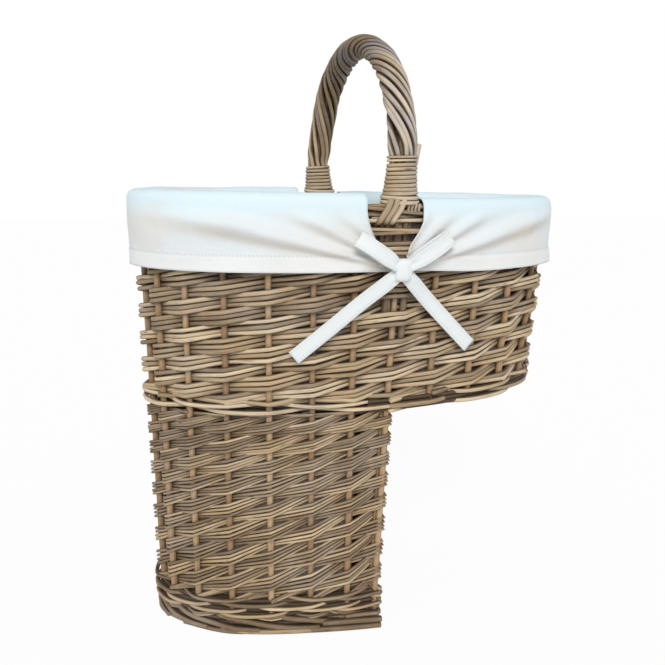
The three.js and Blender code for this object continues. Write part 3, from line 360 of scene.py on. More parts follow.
class Rods:
    """Rods that are made into one mesh: each a path, the radius along it, a tint and the way it faces."""

    END_REACH = (0.22, 0.3)  # of the radius, from a path's end to the rounding and to the tip
    END_WIDTH = 0.78
    GRAIN_SHIFT = 977  # millimetres of pattern between tints 0 and 1
    THINNEST = 0.4

    def __init__(self, seed):
        self.dice = np.random.default_rng(seed)
        self.rods = []

    def add(self, path, radius, tint=None, facing=None):
        path = np.asarray(path, float)
        radius = np.broadcast_to(np.asarray(radius, float), (len(path),)).copy()
        tint = self.dice.random() if tint is None else tint
        self.rods.append((path, radius, tint, facing))

    def lengths(self, path, radius, least, most, tip=0.8, tint=None):
        """Adds a long run as several rods laid end to end, each thinner towards its tip."""
        path = np.asarray(path, float)
        along = run_lengths(path)
        start = 0
        while start < len(path) - 2:
            reach = along[start] + self.dice.uniform(least, most)
            stop = int(np.searchsorted(along, reach))
            stop = len(path) - 1 if along[-1] - along[min(stop, len(path) - 1)] < least / 2 else stop
            piece = path[start : stop + 1]
            share = np.linspace(0, 1, len(piece))
            self.add(piece, radius * (1.06 - (1.06 - tip) * share), tint)
            start = stop

    def mesh(self, name, sides):
        """One mesh from all the rods, by way of a bevelled curve; each rod's ends are closed and rounded."""
        curve = bpy.data.curves.new(name, "CURVE")
        curve.dimensions = "3D"
        curve.resolution_u = 1
        curve.bevel_depth = MM
        curve.bevel_resolution = sides // 2 - 2
        turn = 2 * np.pi * np.arange(sides) / sides
        round_once = np.stack([np.cos(turn), np.sin(turn)], axis=1)[None]
        near, far = self.END_REACH
        tints, grains, rings = [], [], []
        for path, radius, tint, facing in self.rods:
            ends = []
            for end, inner, size in ((path[0], path[1], radius[0]), (path[-1], path[-2], radius[-1])):
                away = (end - inner) / (np.linalg.norm(end - inner) + 1e-9)
                ends.append((end + away * near * size, end + away * far * size))
            points = np.vstack([ends[0][1], ends[0][0], path, ends[1][0], ends[1][1]])
            narrow = self.END_WIDTH * radius
            thick = np.concatenate([[0, narrow[0]], radius, [narrow[-1], 0]])
            spline = curve.splines.new("POLY")
            spline.points.add(len(points) - 1)
            spline.points.foreach_set("co", np.hstack([points * MM, np.ones((len(points), 1))]).ravel())
            spline.points.foreach_set("radius", thick)
            thick = np.maximum(thick, self.THINNEST)
            along = run_lengths(points) + self.GRAIN_SHIFT * tint
            ring = round_once * thick[:, None, None]
            along = np.broadcast_to(along[:, None, None], ring.shape[:2] + (1,))
            grains.append(np.concatenate([along, ring], axis=2).reshape(-1, 3))
            tints.append(np.full(len(points) * sides, tint))
            if facing is not None:
                facing = np.vstack([facing[:1], facing[:1], facing, facing[-1:], facing[-1:]])
            rings.append((points, thick, facing))
        holder = bpy.data.objects.new(name, curve)
        bpy.context.scene.collection.objects.link(holder)
        graph = bpy.context.evaluated_depsgraph_get()
        mesh = bpy.data.meshes.new_from_object(holder.evaluated_get(graph))
        bpy.data.objects.remove(holder)
        bpy.data.curves.remove(curve)
        tints = np.concatenate(tints)
        if len(mesh.vertices) != len(tints):
            raise RuntimeError(f"{name}: {len(mesh.vertices)} points, {len(tints)} expected")
        places = np.empty(len(tints) * 3)
        mesh.vertices.foreach_get("co", places)
        seats = self.seats(rings, places.reshape(-1, sides, 3) / MM)
        for key, values in (("seat", seats), ("tint", tints)):
            mesh.attributes.new(key, "FLOAT", "POINT").data.foreach_set("value", values)
        grains = np.concatenate(grains).ravel()
        mesh.attributes.new("grain", "FLOAT_VECTOR", "POINT").data.foreach_set("vector", grains)
        shape = bmesh.new()
        shape.from_mesh(mesh)
        bmesh.ops.remove_doubles(shape, verts=shape.verts, dist=1e-7)
        bmesh.ops.recalc_face_normals(shape, faces=shape.faces)
        shape.to_mesh(mesh)
        shape.free()
        mesh.shade_smooth()
        while mesh.uv_layers:
            mesh.uv_layers.remove(mesh.uv_layers[0])
        mesh.name = name
        return mesh

    @staticmethod
    def seats(rings, places):
        """How deep each point lies between rods: above and below, or to both sides of where its rod faces;
        the finish paints shade with some dirt there.
        """
        seats = []
        start = 0
        for points, thick, facing in rings:
            spokes = (places[start : start + len(points)] - points[:, None]) / thick[:, None, None]
            if facing is None:
                seats.append(np.abs(spokes[:, :, 2]))
            else:
                along = np.einsum("rsk,rk->rs", spokes, facing)
                seats.append(np.where(along < -0.2, 1, np.sqrt(np.clip(1 - along**2, 0, 1))))
            start += len(points)
        return np.concatenate(seats).ravel()


# Shader helpers


class Value:
    """A shader socket whose Python operators add Math nodes."""

    def __init__(self, build, socket):
        self.build = build
        self.socket = socket

    def math(self, operation, *values):
        return self.build.node("ShaderNodeMath", {"operation": operation}, dict(enumerate(values)))

    def __add__(self, other):
        return self.math("ADD", self, other)

    def __sub__(self, other):
        return self.math("SUBTRACT", self, other)

    def __rsub__(self, other):
        return self.math("SUBTRACT", other, self)

    def __mul__(self, other):
        return self.math("MULTIPLY", self, other)

    def __pow__(self, other):
        return self.math("POWER", self, other)

    __radd__, __rmul__ = __add__, __mul__

    def sine(self):
        return self.math("SINE", self)

    def absolute(self):
        return self.math("ABSOLUTE", self)

    def clamp(self, low=0.0, high=1.0):
        return self.build.node("ShaderNodeClamp", {}, {"Value": self, "Min": low, "Max": high})

    def band(self, low, high):
        """0 below low, 1 above high, smooth between."""
        inputs = {"Value": self, "From Min": low, "From Max": high}
        return self.build.node("ShaderNodeMapRange", {"interpolation_type": "SMOOTHSTEP"}, inputs)


class Finish:
    """The node tree of a new material or world."""

    def __init__(self, owner):
        owner.use_nodes = True
        self.owner = owner
        self.tree = owner.node_tree
        self.tree.nodes.clear()

    def node(self, kind, settings=None, inputs=None, output=0):
        made = self.tree.nodes.new(kind)
        for key, value in (settings or {}).items():
            if key == "stops":
                ramp = made.color_ramp
                for i, (place, colour) in enumerate(value):
                    stop = ramp.elements[i] if i < 2 else ramp.elements.new(place)
                    stop.position = place
                    stop.color = (*colour, 1)
            else:
                setattr(made, key, value)
        for key, value in (inputs or {}).items():
            socket = made.inputs[key]
            if isinstance(value, Value):
                self.tree.links.new(value.socket, socket)
            elif socket.type == "RGBA" and len(value) == 3:
                socket.default_value = (*value, 1)
            else:
                socket.default_value = value
        return Value(self, made.outputs[output]) if made.outputs else None

    def mix(self, factor, a, b):
        return self.node("ShaderNodeMix", {"data_type": "RGBA"}, {0: factor, 6: a, 7: b}, 2)

    def layers(self, colour, *paints):
        """Lays each (mask, paint) over the colours below it."""
        for mask, paint in paints:
            colour = self.mix(mask, colour, paint)
        return colour

    def attribute(self, name, vector=False):
        return self.node("ShaderNodeAttribute", {"attribute_name": name}, output=1 if vector else 2)

    def stretch(self, vector, scale):
        return self.node("ShaderNodeMapping", {}, {"Vector": vector, "Scale": scale})

    def noise(self, vector, scale, detail=3.0, rough=0.55):
        inputs = {"Vector": vector, "Scale": scale, "Detail": detail, "Roughness": rough}
        return self.node("ShaderNodeTexNoise", {}, inputs)

    def place(self):
        return self.node("ShaderNodeTexCoord", output=3)

    def part(self, vector, axis):
        return self.node("ShaderNodeSeparateXYZ", {}, {"Vector": vector}, axis)

    def ridges(self, height, strength):
        return self.node("ShaderNodeBump", {}, {"Height": height, "Distance": 0.0006, "Strength": strength})

    def direct_rays(self):
        """1 for rays from the camera, also off a mirror or through glass, 0 for scattered light."""
        seen = self.node("ShaderNodeLightPath").socket.node.outputs
        kinds = ("Camera", "Glossy", "Transmission")
        camera, mirror, glass = (Value(self, seen[f"Is {kind} Ray"]) for kind in kinds)
        return (camera + mirror + glass).clamp()

    def output(self, kind, shader):
        self.node(kind, {}, {"Surface": shader})
        return self.owner

    def surface(self, **inputs):
        inputs = {key.replace("_", " "): value for key, value in inputs.items()}
        return self.output("ShaderNodeOutputMaterial", self.node("ShaderNodeBsdfPrincipled", {}, inputs))


def toned(colour, *factors):
    """A colour times one factor, or one for each of red, green and blue."""
    return [min(1, c * k) for c, k in zip(colour, factors * (3 // len(factors)))]


def willow(f, lean=0.0, wash=0.35, variety=1.0, handle=False, warm=0.0, ends=0.0):
    """Weathered willow: a tint for each rod, grain along it, grey wash, and painted shade with some dirt
    between the rods; packing rods and the basket's ends get painted shade too.
    """
    look = bpy.context.scene.basket_willow
    dark, shade, tan, pale, grey = (tuple(c) for c in (look.dark, look.shade, look.tan, look.pale, look.wash))
    tint, grain, place = f.attribute("tint"), f.attribute("grain", True), f.place()
    if handle:
        across = f.part(place, 1)
        near, far = 1 - across.band(-0.1, -0.04), across.band(0.02, 0.09)
        lean = lean + near * 0.84 + far * 0.52
        wash = wash + near * 0.2 - far * 0.6
        grey = f.mix(near + far, NEAR_GREY, FAR_GREY)
    # Painted shade: with ends, the basket's ends, left of x = -190 mm and right of x = -45 mm, are darker
    if ends:
        along = f.part(place, 0)
        lean = lean - (1 - along.band(-0.19, -0.13)) * ends - along.band(-0.045, 0.0) * ends
    drift = f.noise(f.stretch(grain, (0.012, 0.02, 0.02)), 1.0, 2.0)
    streak = f.noise(f.stretch(grain, (0.05, 0.9, 0.9)), 1.0, 4.0, 0.6)
    fine = f.noise(f.stretch(grain, (0.25, 3.2, 3.2)), 1.0, 3.0, 0.6)
    mood = ((tint - 0.5) * (0.95 * variety) + (drift - 0.5) * 1.1 + (lean + 0.5)).clamp()
    stops = [(0.0, [(a + b) / 2 for a, b in zip(dark, shade)]), (1.0, pale), (0.3, shade), (0.66, tan)]
    base = f.node("ShaderNodeValToRGB", {"stops": stops}, {"Fac": mood})
    base = f.mix(warm, base, REDDISH) if warm else base
    eyes = {"Vector": f.stretch(grain, (0.022, 0.16, 0.16)), "Scale": 1.0}
    spot = (1 - f.node("ShaderNodeTexVoronoi", {"feature": "F1"}, eyes).band(0.05, 0.12)) * 0.8
    colour = f.layers(
        base,
        (f.noise(place, 24.0, 3.0).band(0.4, 0.66) * wash, grey),
        (streak.band(0.5, 0.3) * 0.55, toned(dark, 1.3)),
        (fine.band(0.56, 0.78) * 0.4, toned(pale, 1.15)),
        (spot, toned(dark, 0.5)),
        # Painted shade, with some dirt, where rods lie against their neighbours and on the handle rods' inner
        # side
        (f.attribute("seat").band(0.55, 0.97) * 0.86, toned(dark, 0.36, 0.3, 0.2)),
        # Painted shade on rods with a negative tint: the packing rods behind the weave
        ((tint * -1.6).clamp() * 0.78, toned(dark, 0.42)),
    )
    ridges = f.ridges(streak * 0.6 + fine * 0.5 - spot * 0.8, 0.6)
    rough = streak * -0.25 + 0.75
    return f.surface(Base_Color=colour, Roughness=rough, Normal=ridges, Specular_IOR_Level=0.3)


def cotton(f, setting, warmth, shaded=False):
    """Plain woven cotton: fine threads, soft creases, stitches along hems, painted shade in the creases
    gathered round the knot and under the folds, and a painted highlight on the cuffs' top.
    """
    colour = tuple(getattr(bpy.context.scene.basket_cotton, setting))
    cloth, place = f.attribute("cloth", True), f.place()
    across, down, hem = (f.part(cloth, axis) for axis in range(3))
    aside, height = f.part(place, 0), f.part(place, 2)
    threads = (across * 7.5).sine() * 0.5 + (down * 7.5).sine() * 0.5
    warp, weft = (f.noise(f.stretch(cloth, grain), 1.0, 3.0) for grain in ((0.35, 0.02, 1), (0.02, 0.35, 1)))
    slub = warp + weft
    crease = f.noise(f.stretch(cloth, (0.05, 0.035, 1)), 1.0, 4.0, 0.6)
    line = (1 - (hem - 0.5).absolute().band(0.02, 0.06)) * (across * 2.1).sine().band(-0.3, 0.1)
    mottle = f.noise(place, 11.0, 3.0)
    # Painted highlight: the cuffs' top over the rim is painted cool white, as if lit by the sky
    top = height.band(0.376, 0.404) * mottle.band(0.22, 0.46)
    away = ((aside * aside) + (height - KNOT_HEIGHT * MM) ** 2) ** 0.5
    gathered = (1 - away.band(0.012, 0.04)) * warmth
    paints = [
        ((slub - 0.75).clamp() * 0.5, toned(colour, 1.02, 0.975, 0.9)),
        (mottle.band(0.38, 0.62) * warmth, toned(colour, 0.98, 1.03, 1.08)),
        ((1 - down.band(12.5, 14.0)) * 0.8 * warmth, toned(colour, 1.09)),
        (top * (0.85 * warmth), SKY_HIGHLIGHT_WHITE),
        # Painted shade in the creases gathered round the knot
        (gathered * crease.band(0.35, 0.6) * 0.6, GATHERED_CREASE_SHADE),
        # Painted shadow in the valleys under the folds
        (f.attribute("valley") * 0.5, FOLD_SHADOW_CREAM),
        (line * 0.35, toned(colour, 0.8)),
    ]
    if shaded:
        # Painted shade: the bag below the rim is coloured brown-dark, as the shade inside the basket
        paints.append(((1 - height.band(0.352, 0.386)) * 0.84, BAG_PAINTED_SHADE))
    cloth_colour = f.layers(colour, *paints)
    return f.surface(
        Base_Color=cloth_colour,
        Roughness=0.92,
        Normal=f.ridges(threads * 0.12 + slub * 0.6 + crease * 3.0 - line * 1.2, 0.5),
        Specular_IOR_Level=0.2,
        Sheen_Weight=0.15,
        Sheen_Roughness=0.5,
    )


FINISHES = {
    "weathered_willow": (willow, {"lean": 0.08, "variety": 0.85}),
    # ends paints shade on the basket's ends
    "weathered_willow_thin": (willow, {"lean": -0.1, "wash": 0.3, "variety": 0.85, "ends": 0.16}),
    # The foot border's low lean paints shade near the floor
    "weathered_willow_border": (willow, {"lean": -0.56, "wash": 0.3, "variety": 1.3, "ends": 0.1}),
    "weathered_willow_wale": (willow, {"lean": -0.14, "wash": 0.3, "variety": 1.1, "ends": 0.18}),
    "tan_willow": (willow, {"lean": -0.1, "wash": 0.14, "variety": 0.9, "warm": 0.6}),
    "greyed_willow": (willow, {"lean": -0.6, "wash": 0.8, "variety": 0.8, "handle": True}),
    "pale_willow": (willow, {"lean": 0.34, "wash": 0.6, "variety": 0.5}),
    "shaded_willow": (willow, {"lean": -0.45, "wash": 0.1, "variety": 0.4}),
    "cream_cotton": (cotton, {"setting": "colour", "warmth": 1.0}),
    # Painted shade: the bag hangs in the dark of the basket, so its outside below the rim is painted a shaded
    # brown
    "shaded_cotton": (cotton, {"setting": "colour", "warmth": 0.25, "shaded": True}),
    "white_cotton": (cotton, {"setting": "tie_colour", "warmth": 0.0}),
}
finishes = {}


def finish_named(name):
    """The finish of this name, made at its first use."""
    if name not in finishes:
        make, settings = FINISHES[name]
        finishes[name] = make(Finish(bpy.data.materials.new(name)), **settings)
    return finishes[name]


# Pieces


def mesh_from(shape, name):
    """Turns a bmesh into a mesh with smooth shading."""
    mesh = bpy.data.meshes.new(name)
    shape.to_mesh(mesh)
    shape.free()
    mesh.shade_smooth()
    return mesh


def show(mesh, finish, nodes):
    """Links a finished mesh as a piece that stands for its CAD nodes."""
    piece = bpy.data.objects.new(mesh.name, mesh)
    bpy.context.scene.collection.objects.link(piece)
    mesh.materials.clear()
    mesh.materials.append(finish_named(finish))
    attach(piece, BODY)
    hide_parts(*nodes)
    return piece


def show_rods(rods, name, sides, finish, nodes):
    show(rods.mesh(name, sides), finish, nodes)


def numbered(name, count):
    return [f"{name}_{n}" for n in range(1, count + 1)]


# Weaving


def band_out(post, radius):
    return post.radius + radius + ROD_GAP


def woven_lengths(rods, stops, behind, radius, reach, straight, steps):
    """Splits a woven run into rods that end behind stakes, each thinner towards its tip."""
    start = 0
    while start < len(stops) - 1:
        wanted = start + int(rods.dice.integers(*reach))
        ends = [i for i in behind if i >= wanted]
        stop = ends[0] if ends and ends[0] < len(stops) - 4 else len(stops) - 1
        path = path_through(stops[start : stop + 1], steps, straight)
        rods.add(path, radius * np.linspace(1.05, 0.88, len(path)) * rods.dice.uniform(0.94, 1.05))
        start = stop


def slew(
    rods, loop_at, starts, height, low, high, members, radius, lift, flare, jitter, straight, steps, reach
):
    """Multi-start slewing, before one stake and behind the next.

    Strand n lies at row n + starts / count * step, so its rods climb as they go round.
    """
    dice = rods.dice
    count = len(loop_at(low))
    for strand in range(starts):
        for member in range(members):
            sway = dice.uniform(-1, 1, 3)
            stops, behind = [], []
            for step in range(-4 * count, 4 * count):
                side = 1 if (step + strand) % 2 == 0 else -1
                middle = strand + starts * step / count + 0.5
                share = ((member + 0.5) / members - 0.5) * (flare if side > 0 else 1.0)
                z = height(middle + share) - side * lift
                if not low - STRAND_PAST < z < high + STRAND_PAST:
                    continue
                z = min(max(z, low + radius * 0.8), high - radius * 0.8)
                z += jitter * (dice.uniform(-0.5, 0.5) + 0.35 * sway[0] * math.sin(step * 0.7 + 3 * sway[1]))
                for post in loop_at(z)[step % count]:
                    out = side * (band_out(post, radius) + jitter * dice.uniform(-0.2, 0.6))
                    if side < 0:
                        behind.append(len(stops))
                    stops.append(post.point(z, out))
            if len(stops) > 1:
                woven_lengths(rods, stops, behind, radius, reach, straight, steps)


class BASKET_OT_stakes(bpy.types.Operator):
    """Upright stakes of the leg and the shelf"""

    bl_idname = "basket.stakes"
    bl_label = "Stakes"

    def execute(self, context):
        radius = context.scene.basket_willow.stake_radius / MM
        leg_nodes = numbered("leg_stake", 13) + ["corner_stake_front", "corner_stake_back"]
        sets = {
            "leg_stakes": (leg_posts + list(corner_posts.values()), STAKE_LOW, STAKE_HIGH, leg_nodes),
            "riser_stakes": (riser_posts, STAKE_LOW, SHELF_STAKE_LOW, numbered("riser_stake", 4)),
            "shelf_stakes": (shelf_posts, SHELF_STAKE_LOW, STAKE_HIGH, numbered("shelf_stake", 10)),
        }
        for n, (name, (posts, low, high, nodes)) in enumerate(sets.items()):
            rods = Rods(31 + n)
            heights = np.linspace(low, high, 26)
            for post in posts:
                sway = rods.dice.uniform(-0.5, 0.5, 2)
                outs = [sway[0] * math.sin(z / 61) + 0.15 * math.sin(z / 11) for z in heights]
                path = np.array([post.point(z, out) for z, out in zip(heights, outs)])
                path[:, 0] += sway[1] * np.sin(heights / 83)
                rods.add(path, np.linspace(1.08, 0.9, len(path)) * radius * rods.dice.uniform(0.94, 1.05))
            if name == "riser_stakes":
                # Uprights inside the riser's weave, which close its gaps
                for share in (-0.95, -0.86, -0.73, -0.4, 0, 0.4, 0.73, 0.86, 0.95):
                    rods.add([riser_post(share).point(z, -3.5) for z in np.linspace(14, LEG_TOP, 12)], 2.6)
            show_rods(rods, name, 10, "tan_willow", nodes)
        return {"FINISHED"}


def leg_row(row):
    """Height of a row of the leg's weave: above the widest row they lie closer and closer together."""
    above = row - LEG_WIDEST_ROW
    return LEG_WIDEST_HEIGHT + above * (LEG_ROW - LEG_ROW_LOSS * min(abs(above), 20))


def body_row(row):
    return BODY_FIRST_ROW + BODY_ROW * row


class BASKET_OT_leg_weave(bpy.types.Operator):
    """Slewed weave of the leg, four thin rods to a strand"""

    bl_idname = "basket.leg_weave"
    bl_label = "Leg weave"

    def execute(self, context):
        rods = Rods(101)
        radius = context.scene.basket_willow.leg_rod / MM
        slew(
            rods, lambda z: leg_loop, LEG_STARTS, leg_row, LEG_WEAVE_LOW, LEG_TOP, members=4, radius=radius,
            lift=0.1, flare=1.3, jitter=0.8, straight=0.78, steps=6, reach=(7, 15),
        )
        # Packing rods behind the riser's weave, coloured with painted shade
        for z in np.arange(36, 214, PACKING_STEP):
            row = [riser_post(share).point(z, -7.0) for share in np.linspace(-0.98, 0.98, 5)]
            rods.add(row, 2.25, PACKING_SHADE_TINT)
        show_rods(rods, "leg_weave_rods", 8, "weathered_willow_thin", numbered("leg_weave", 4))
        return {"FINISHED"}


class BASKET_OT_body_weave(bpy.types.Operator):
    """Slewed weave of the body above the leg and round the shelf, three thicker rods to a strand"""

    bl_idname = "basket.body_weave"
    bl_label = "Body weave"

    def execute(self, context):
        rods = Rods(202)
        radius = context.scene.basket_willow.body_rod / MM
        slew(
            rods, body_loop, BODY_STARTS, body_row, WAIST_TOP, BODY_WEAVE_TOP, members=3, radius=radius,
            lift=0.0, flare=1.12, jitter=1.0, straight=0.68, steps=7, reach=(8, 18),
        )
        # Packing rods behind the body's weave, coloured with painted shade
        for z in np.arange(234, BODY_WEAVE_TOP, PACKING_STEP):
            rods.add(oval_run(z, -8.9, -0.75, 0.75, 14), 1.5, PACKING_SHADE_TINT)
        # Three rods across the handle's foot, above the last row
        for side in (-1, 1):
            for k in range(3):
                ends = [(-36, -5), (-27, 5), (-12, 8.6), (4, 9), (18, 8.6), (32, 6), (42, -5)]
                lean = rods.dice.uniform(-0.6, 0.6)
                width, base = half_width(360), 359.6 + 4.2 * k
                stops = [(x, side * (width + out), base + lean * x / 40) for x, out in ends]
                rods.add(path_through(stops, 6), 2.05)
        show_rods(rods, "body_weave_rods", 8, "weathered_willow", numbered("body_weave", 4))
        return {"FINISHED"}


def wale(rods, loop, low, high, strands, period, radius, rounds=1, first=0, jitter=0.4, closed=True):
    """Waling: each strand passes before period - 1 stakes and behind one, and comes out under the others."""
    count = len(loop)
    for turn in range(rounds):
        base = low + (high - low) * turn / rounds
        top = low + (high - low) * (turn + 1) / rounds
        for strand in range(strands):
            stops = []
            for step in range(count + closed):
                phase = (step + strand * period // strands + first + turn) % period
                behind = phase == period - 1
                share = phase / max(period - 1, 1)
                z = base + radius + (top - base - 2 * radius) * (share if strands > 1 else 0.5)
                z += rods.dice.uniform(-0.3, 0.3) * jitter
                for post in loop[step % count]:
                    out = -band_out(post, radius) if behind else band_out(post, radius) + (1 - share) * 0.8
                    stops.append(post.point(z, out))
            rods.lengths(path_through(stops, 7, 0.15), radius * rods.dice.uniform(0.92, 1.05), 220, 460)


def pack_leg(rods, heights, out, radius):
    """Rods round the leg, behind the stakes' and wales' gaps, darkened with painted shade."""
    for z in heights:
        rods.lengths(leg_ring(z, out), radius, 180, 340, tip=0.95, tint=PACKING_SHADE_TINT)


def pack_shelf(rods, heights, out, radius, past):
    """Rods round the shelf, from a little past one corner to a little past the other, darkened with painted
    shade.
    """
    for z in heights:
        rods.lengths(oval_run(z, out, -BACK - past, BACK + past, 90), radius, 150, 300, tint=PACKING_SHADE_TINT)


class BASKET_OT_wales(bpy.types.Operator):
    """Waling above the foot, at the waist and the pairing under the rim"""

    bl_idname = "basket.wales"
    bl_label = "Wales"

    def execute(self, context):
        foot = Rods(301)
        wale(foot, leg_loop, low=18.0, high=36.4, strands=1, period=3, radius=2.3, rounds=5, jitter=1.0)
        wale(foot, leg_loop, low=15.8, high=19.6, strands=2, period=2, radius=1.45)
        wale(foot, leg_loop, low=13.6, high=17.2, strands=2, period=2, radius=1.3, first=1)
        pack_leg(foot, (4.5, 9, 13.5, 19, 23.5, 28, 32.5), out=1.6, radius=2.1)
        pack_leg(foot, (5, 10, 15, 20, 25, 30, 35), out=-5.6, radius=2.4)
        show_rods(foot, "foot_wale_rods", 8, "weathered_willow_wale", ["foot_wale"])

        waist = Rods(302)
        wale(
            waist, body_loop(WAIST_TOP), low=LEG_TOP - 0.4, high=WAIST_TOP + 1.4,
            strands=1, period=3, radius=2.45, rounds=2, jitter=1.5,
        )
        wale(
            waist, shelf_loop, low=214.4, high=219.2,
            strands=1, period=3, radius=2.35, first=1, jitter=1.0, closed=False,
        )
        pack_shelf(waist, (217.6, 221.6, 225.6), out=2.2, radius=2.1, past=0.1)
        pack_shelf(waist, (220.5, 224.5, 228.5), out=-6.5, radius=2.2, past=0.25)
        pack_leg(waist, (213.5, 218), out=-8.2, radius=2.1)
        show_rods(waist, "waist_wale_rods", 8, "weathered_willow", ["waist_wale"])

        pairing = Rods(303)
        wale(
            pairing, body_loop(PAIRING_TOP), low=PAIRING_LOW, high=PAIRING_TOP + 1.5,
            strands=2, period=2, radius=1.8,
        )
        for side in (-1, 1):
            for way in (-1, 1):
                ends = [(-34, 1), (-22, 9.5), (-4, 10.2), (12, 9.8), (28, 8), (40, -3)]
                stops = []
                for x, out in ends:
                    z = 378.4 + way * (1.9 - abs(x + 24) * 0.03)
                    stops.append((x, side * (half_width(378) + out), z))
                pairing.add(path_through(stops, 6), 1.7)
        show_rods(pairing, "rim_pairing_rods", 8, "weathered_willow", ["rim_pairing"])
        return {"FINISHED"}


# Borders

GAP_PLACES = 10  # places that a border rod can pass between two stakes

# Routes of border rods, as (stakes passed, height, distance outside the stake line)
FOOT_OVER = [(0, 17, -1), (0.3, 15.2, 3.4), (0.8, 12.8, 5.2), (1.4, 9, 5.4), (2.0, 6.2, 6.4), (2.6, 5.0, 7.2)]
FOOT_UNDER = [(0, 14, 0), (0.5, 9, -3), (1.2, 5, -5), (2, 3.2, -3), (2.6, 3, 0)]
FOOT_LOWEST = [(0, 2.8, 6.0), (1.5, 2.9, 6.4), (3.2, 2.7, 5.2)]
FOOT_MIDDLE = [(0, 9, 0), (2, 9, -2), (4, 9, 0)]
RIM_OVER = [
    (0, 386, 0), (0.15, 394, 1), (0.5, 399, 3), (1.2, 399.2, 6),
    (2.0, 395, 6.8), (2.8, 391, 6), (3.3, 390, 2), (3.6, 390, -3),
]
RIM_INNER = [(0, 389, 0), (0.3, 395, -3), (1.0, 398.5, -5), (2.0, 396, -6), (3, 391, -5)]

# Long foot rods, three of them cut off at the corner: (first x, last x, height, first and last distance
# outside the stake line, radius)
LONG_ENDS = (
    (-96, -4.5, 3.0, 5.0, 15.0, 3.0),
    (-58, -3.5, 8.4, 6.5, 14.0, 3.0),
    (-36, -5.5, 12.4, 6.5, 10.0, 2.5),
    (-150, -52, 3.0, 6.0, 8.5, 2.8),
)


def rolled(rods, loop, route, count, radius, steps, tip=0.85):
    """Border rods that start at each stake in turn and run over the next ones, each along the same route."""
    dice = rods.dice
    places = GAP_PLACES * len(loop)
    for n in range(count):
        first = n * places / count + dice.uniform(-0.6, 0.6)
        stops = []
        for step, z, out in route:
            post, part = divmod(int(round(first + step * GAP_PLACES)) % places, GAP_PLACES)
            z, out = z + dice.uniform(-0.35, 0.35), out + dice.uniform(-0.35, 0.35)
            a, b = (np.array(loop[i % len(loop)][0].point(z, out)) for i in (post, post + 1))
            share = part / GAP_PLACES
            stops.append(a * (1 - share) + b * share)
        path = path_through(stops, steps)
        rods.add(path, radius * dice.uniform(0.9, 1.06) * np.linspace(1, tip, len(path)))


class BASKET_OT_borders(bpy.types.Operator):
    """Rolled borders at the foot and the rim"""

    bl_idname = "basket.borders"
    bl_label = "Borders"

    def execute(self, context):
        foot = Rods(401)
        rolled(foot, leg_loop, FOOT_OVER, 13, 3.15, 6, tip=0.95)
        rolled(foot, leg_loop, FOOT_UNDER, 19, 2.6, 5)
        rolled(foot, leg_loop, FOOT_LOWEST, 7, 2.7, 12)
        rolled(foot, leg_loop, FOOT_MIDDLE, 10, 2.7, 8)
        for side in (-1, 1):
            for start, end, z, low_out, high_out, radius in LONG_ENDS:
                stops = []
                for x in np.linspace(start, end, 6):
                    share = (x - start) / (end - start)
                    out = half_width(z) * math.sqrt(1 - (x / half_length(z)) ** 2)
                    out = out + low_out + (high_out - low_out) * share
                    stops.append((x, side * out, z + 0.8 * math.sin(3 * share)))
                foot.add(path_through(stops, 6), radius)
        show_rods(foot, "foot_border_rods", 8, "weathered_willow_border", ["foot_border"])

        rim = Rods(402)
        loop = [[oval_post(a)] for a in np.linspace(0, 2 * math.pi, 25)[:-1]]
        rolled(rim, loop, RIM_OVER, 24, 2.1, 6)
        rolled(rim, loop, RIM_INNER, 24, 2.1, 5)
        for z, out in ((387.3, 5.4), (393.5, 2.5), (396.5, 0.5), (391, -1.5)):
            rim.lengths(oval_run(z, out, 0, 2 * math.pi, 160), 1.9, 160, 320)
        show_rods(rim, "rim_border_rods", 8, "weathered_willow", ["rim_border"])
        return {"FINISHED"}


# Handle


def leg_shift(side, z):
    """The front leg's foot stands a little to the right of the arch, the back leg's to the left."""
    return 2.4 * (1 - smooth(z, 405, BINDING_HIGH)) if side < 0 else -3.4 * (1 - smooth(z, 418, 474))


def bow_point(side, z):
    """Centre of one leg of the handle, from its foot in the weave to the spring of the arch."""
    lean = smooth(z, COLLAR_HEIGHT + 2.4, BINDING_HIGH)
    above = smooth(z, COLLAR_HEIGHT - 14, COLLAR_HEIGHT + 4)
    x = foot_x(z) + (HANDLE_X + leg_shift(side, z) - foot_x(z)) * above
    y = side * (half_width(z) * (1 - lean) + HANDLE_HALF_SPAN * lean)
    return np.array([x, y, z])


def bow_path(low, arch_steps, leg_steps):
    """Centre line of the handle from the front leg over the top to the back leg."""
    heights = np.linspace(low, BINDING_HIGH, leg_steps, endpoint=False)
    arch = []
    for a in np.linspace(0, math.pi, arch_steps):
        z = BINDING_HIGH + HANDLE_RISE * math.sin(a)
        arch.append((HANDLE_X + leg_shift(-math.cos(a), z), -HANDLE_HALF_SPAN * math.cos(a), z))
    front = [bow_point(-1, z) for z in heights]
    back = [bow_point(1, z) for z in heights[::-1]]
    return np.array(front + arch + back, float)


def frames(path):
    """Two directions square to a path at each point: along the basket's length, and outward from the bow."""
    tangent = unit(directions(path))
    across = unit(np.array([1.0, 0, 0]) - tangent * tangent[:, :1])
    return across, np.cross(tangent, across)


def oval_ring(centre, angle, size):
    """Point round the handle: size is its half-width along the basket and across it."""
    return centre + np.array([size[0] * math.cos(angle), size[1] * math.sin(angle), 0])


def beside_wall(x, side, out, z):
    return (x, side * (half_width(z) + out), z)


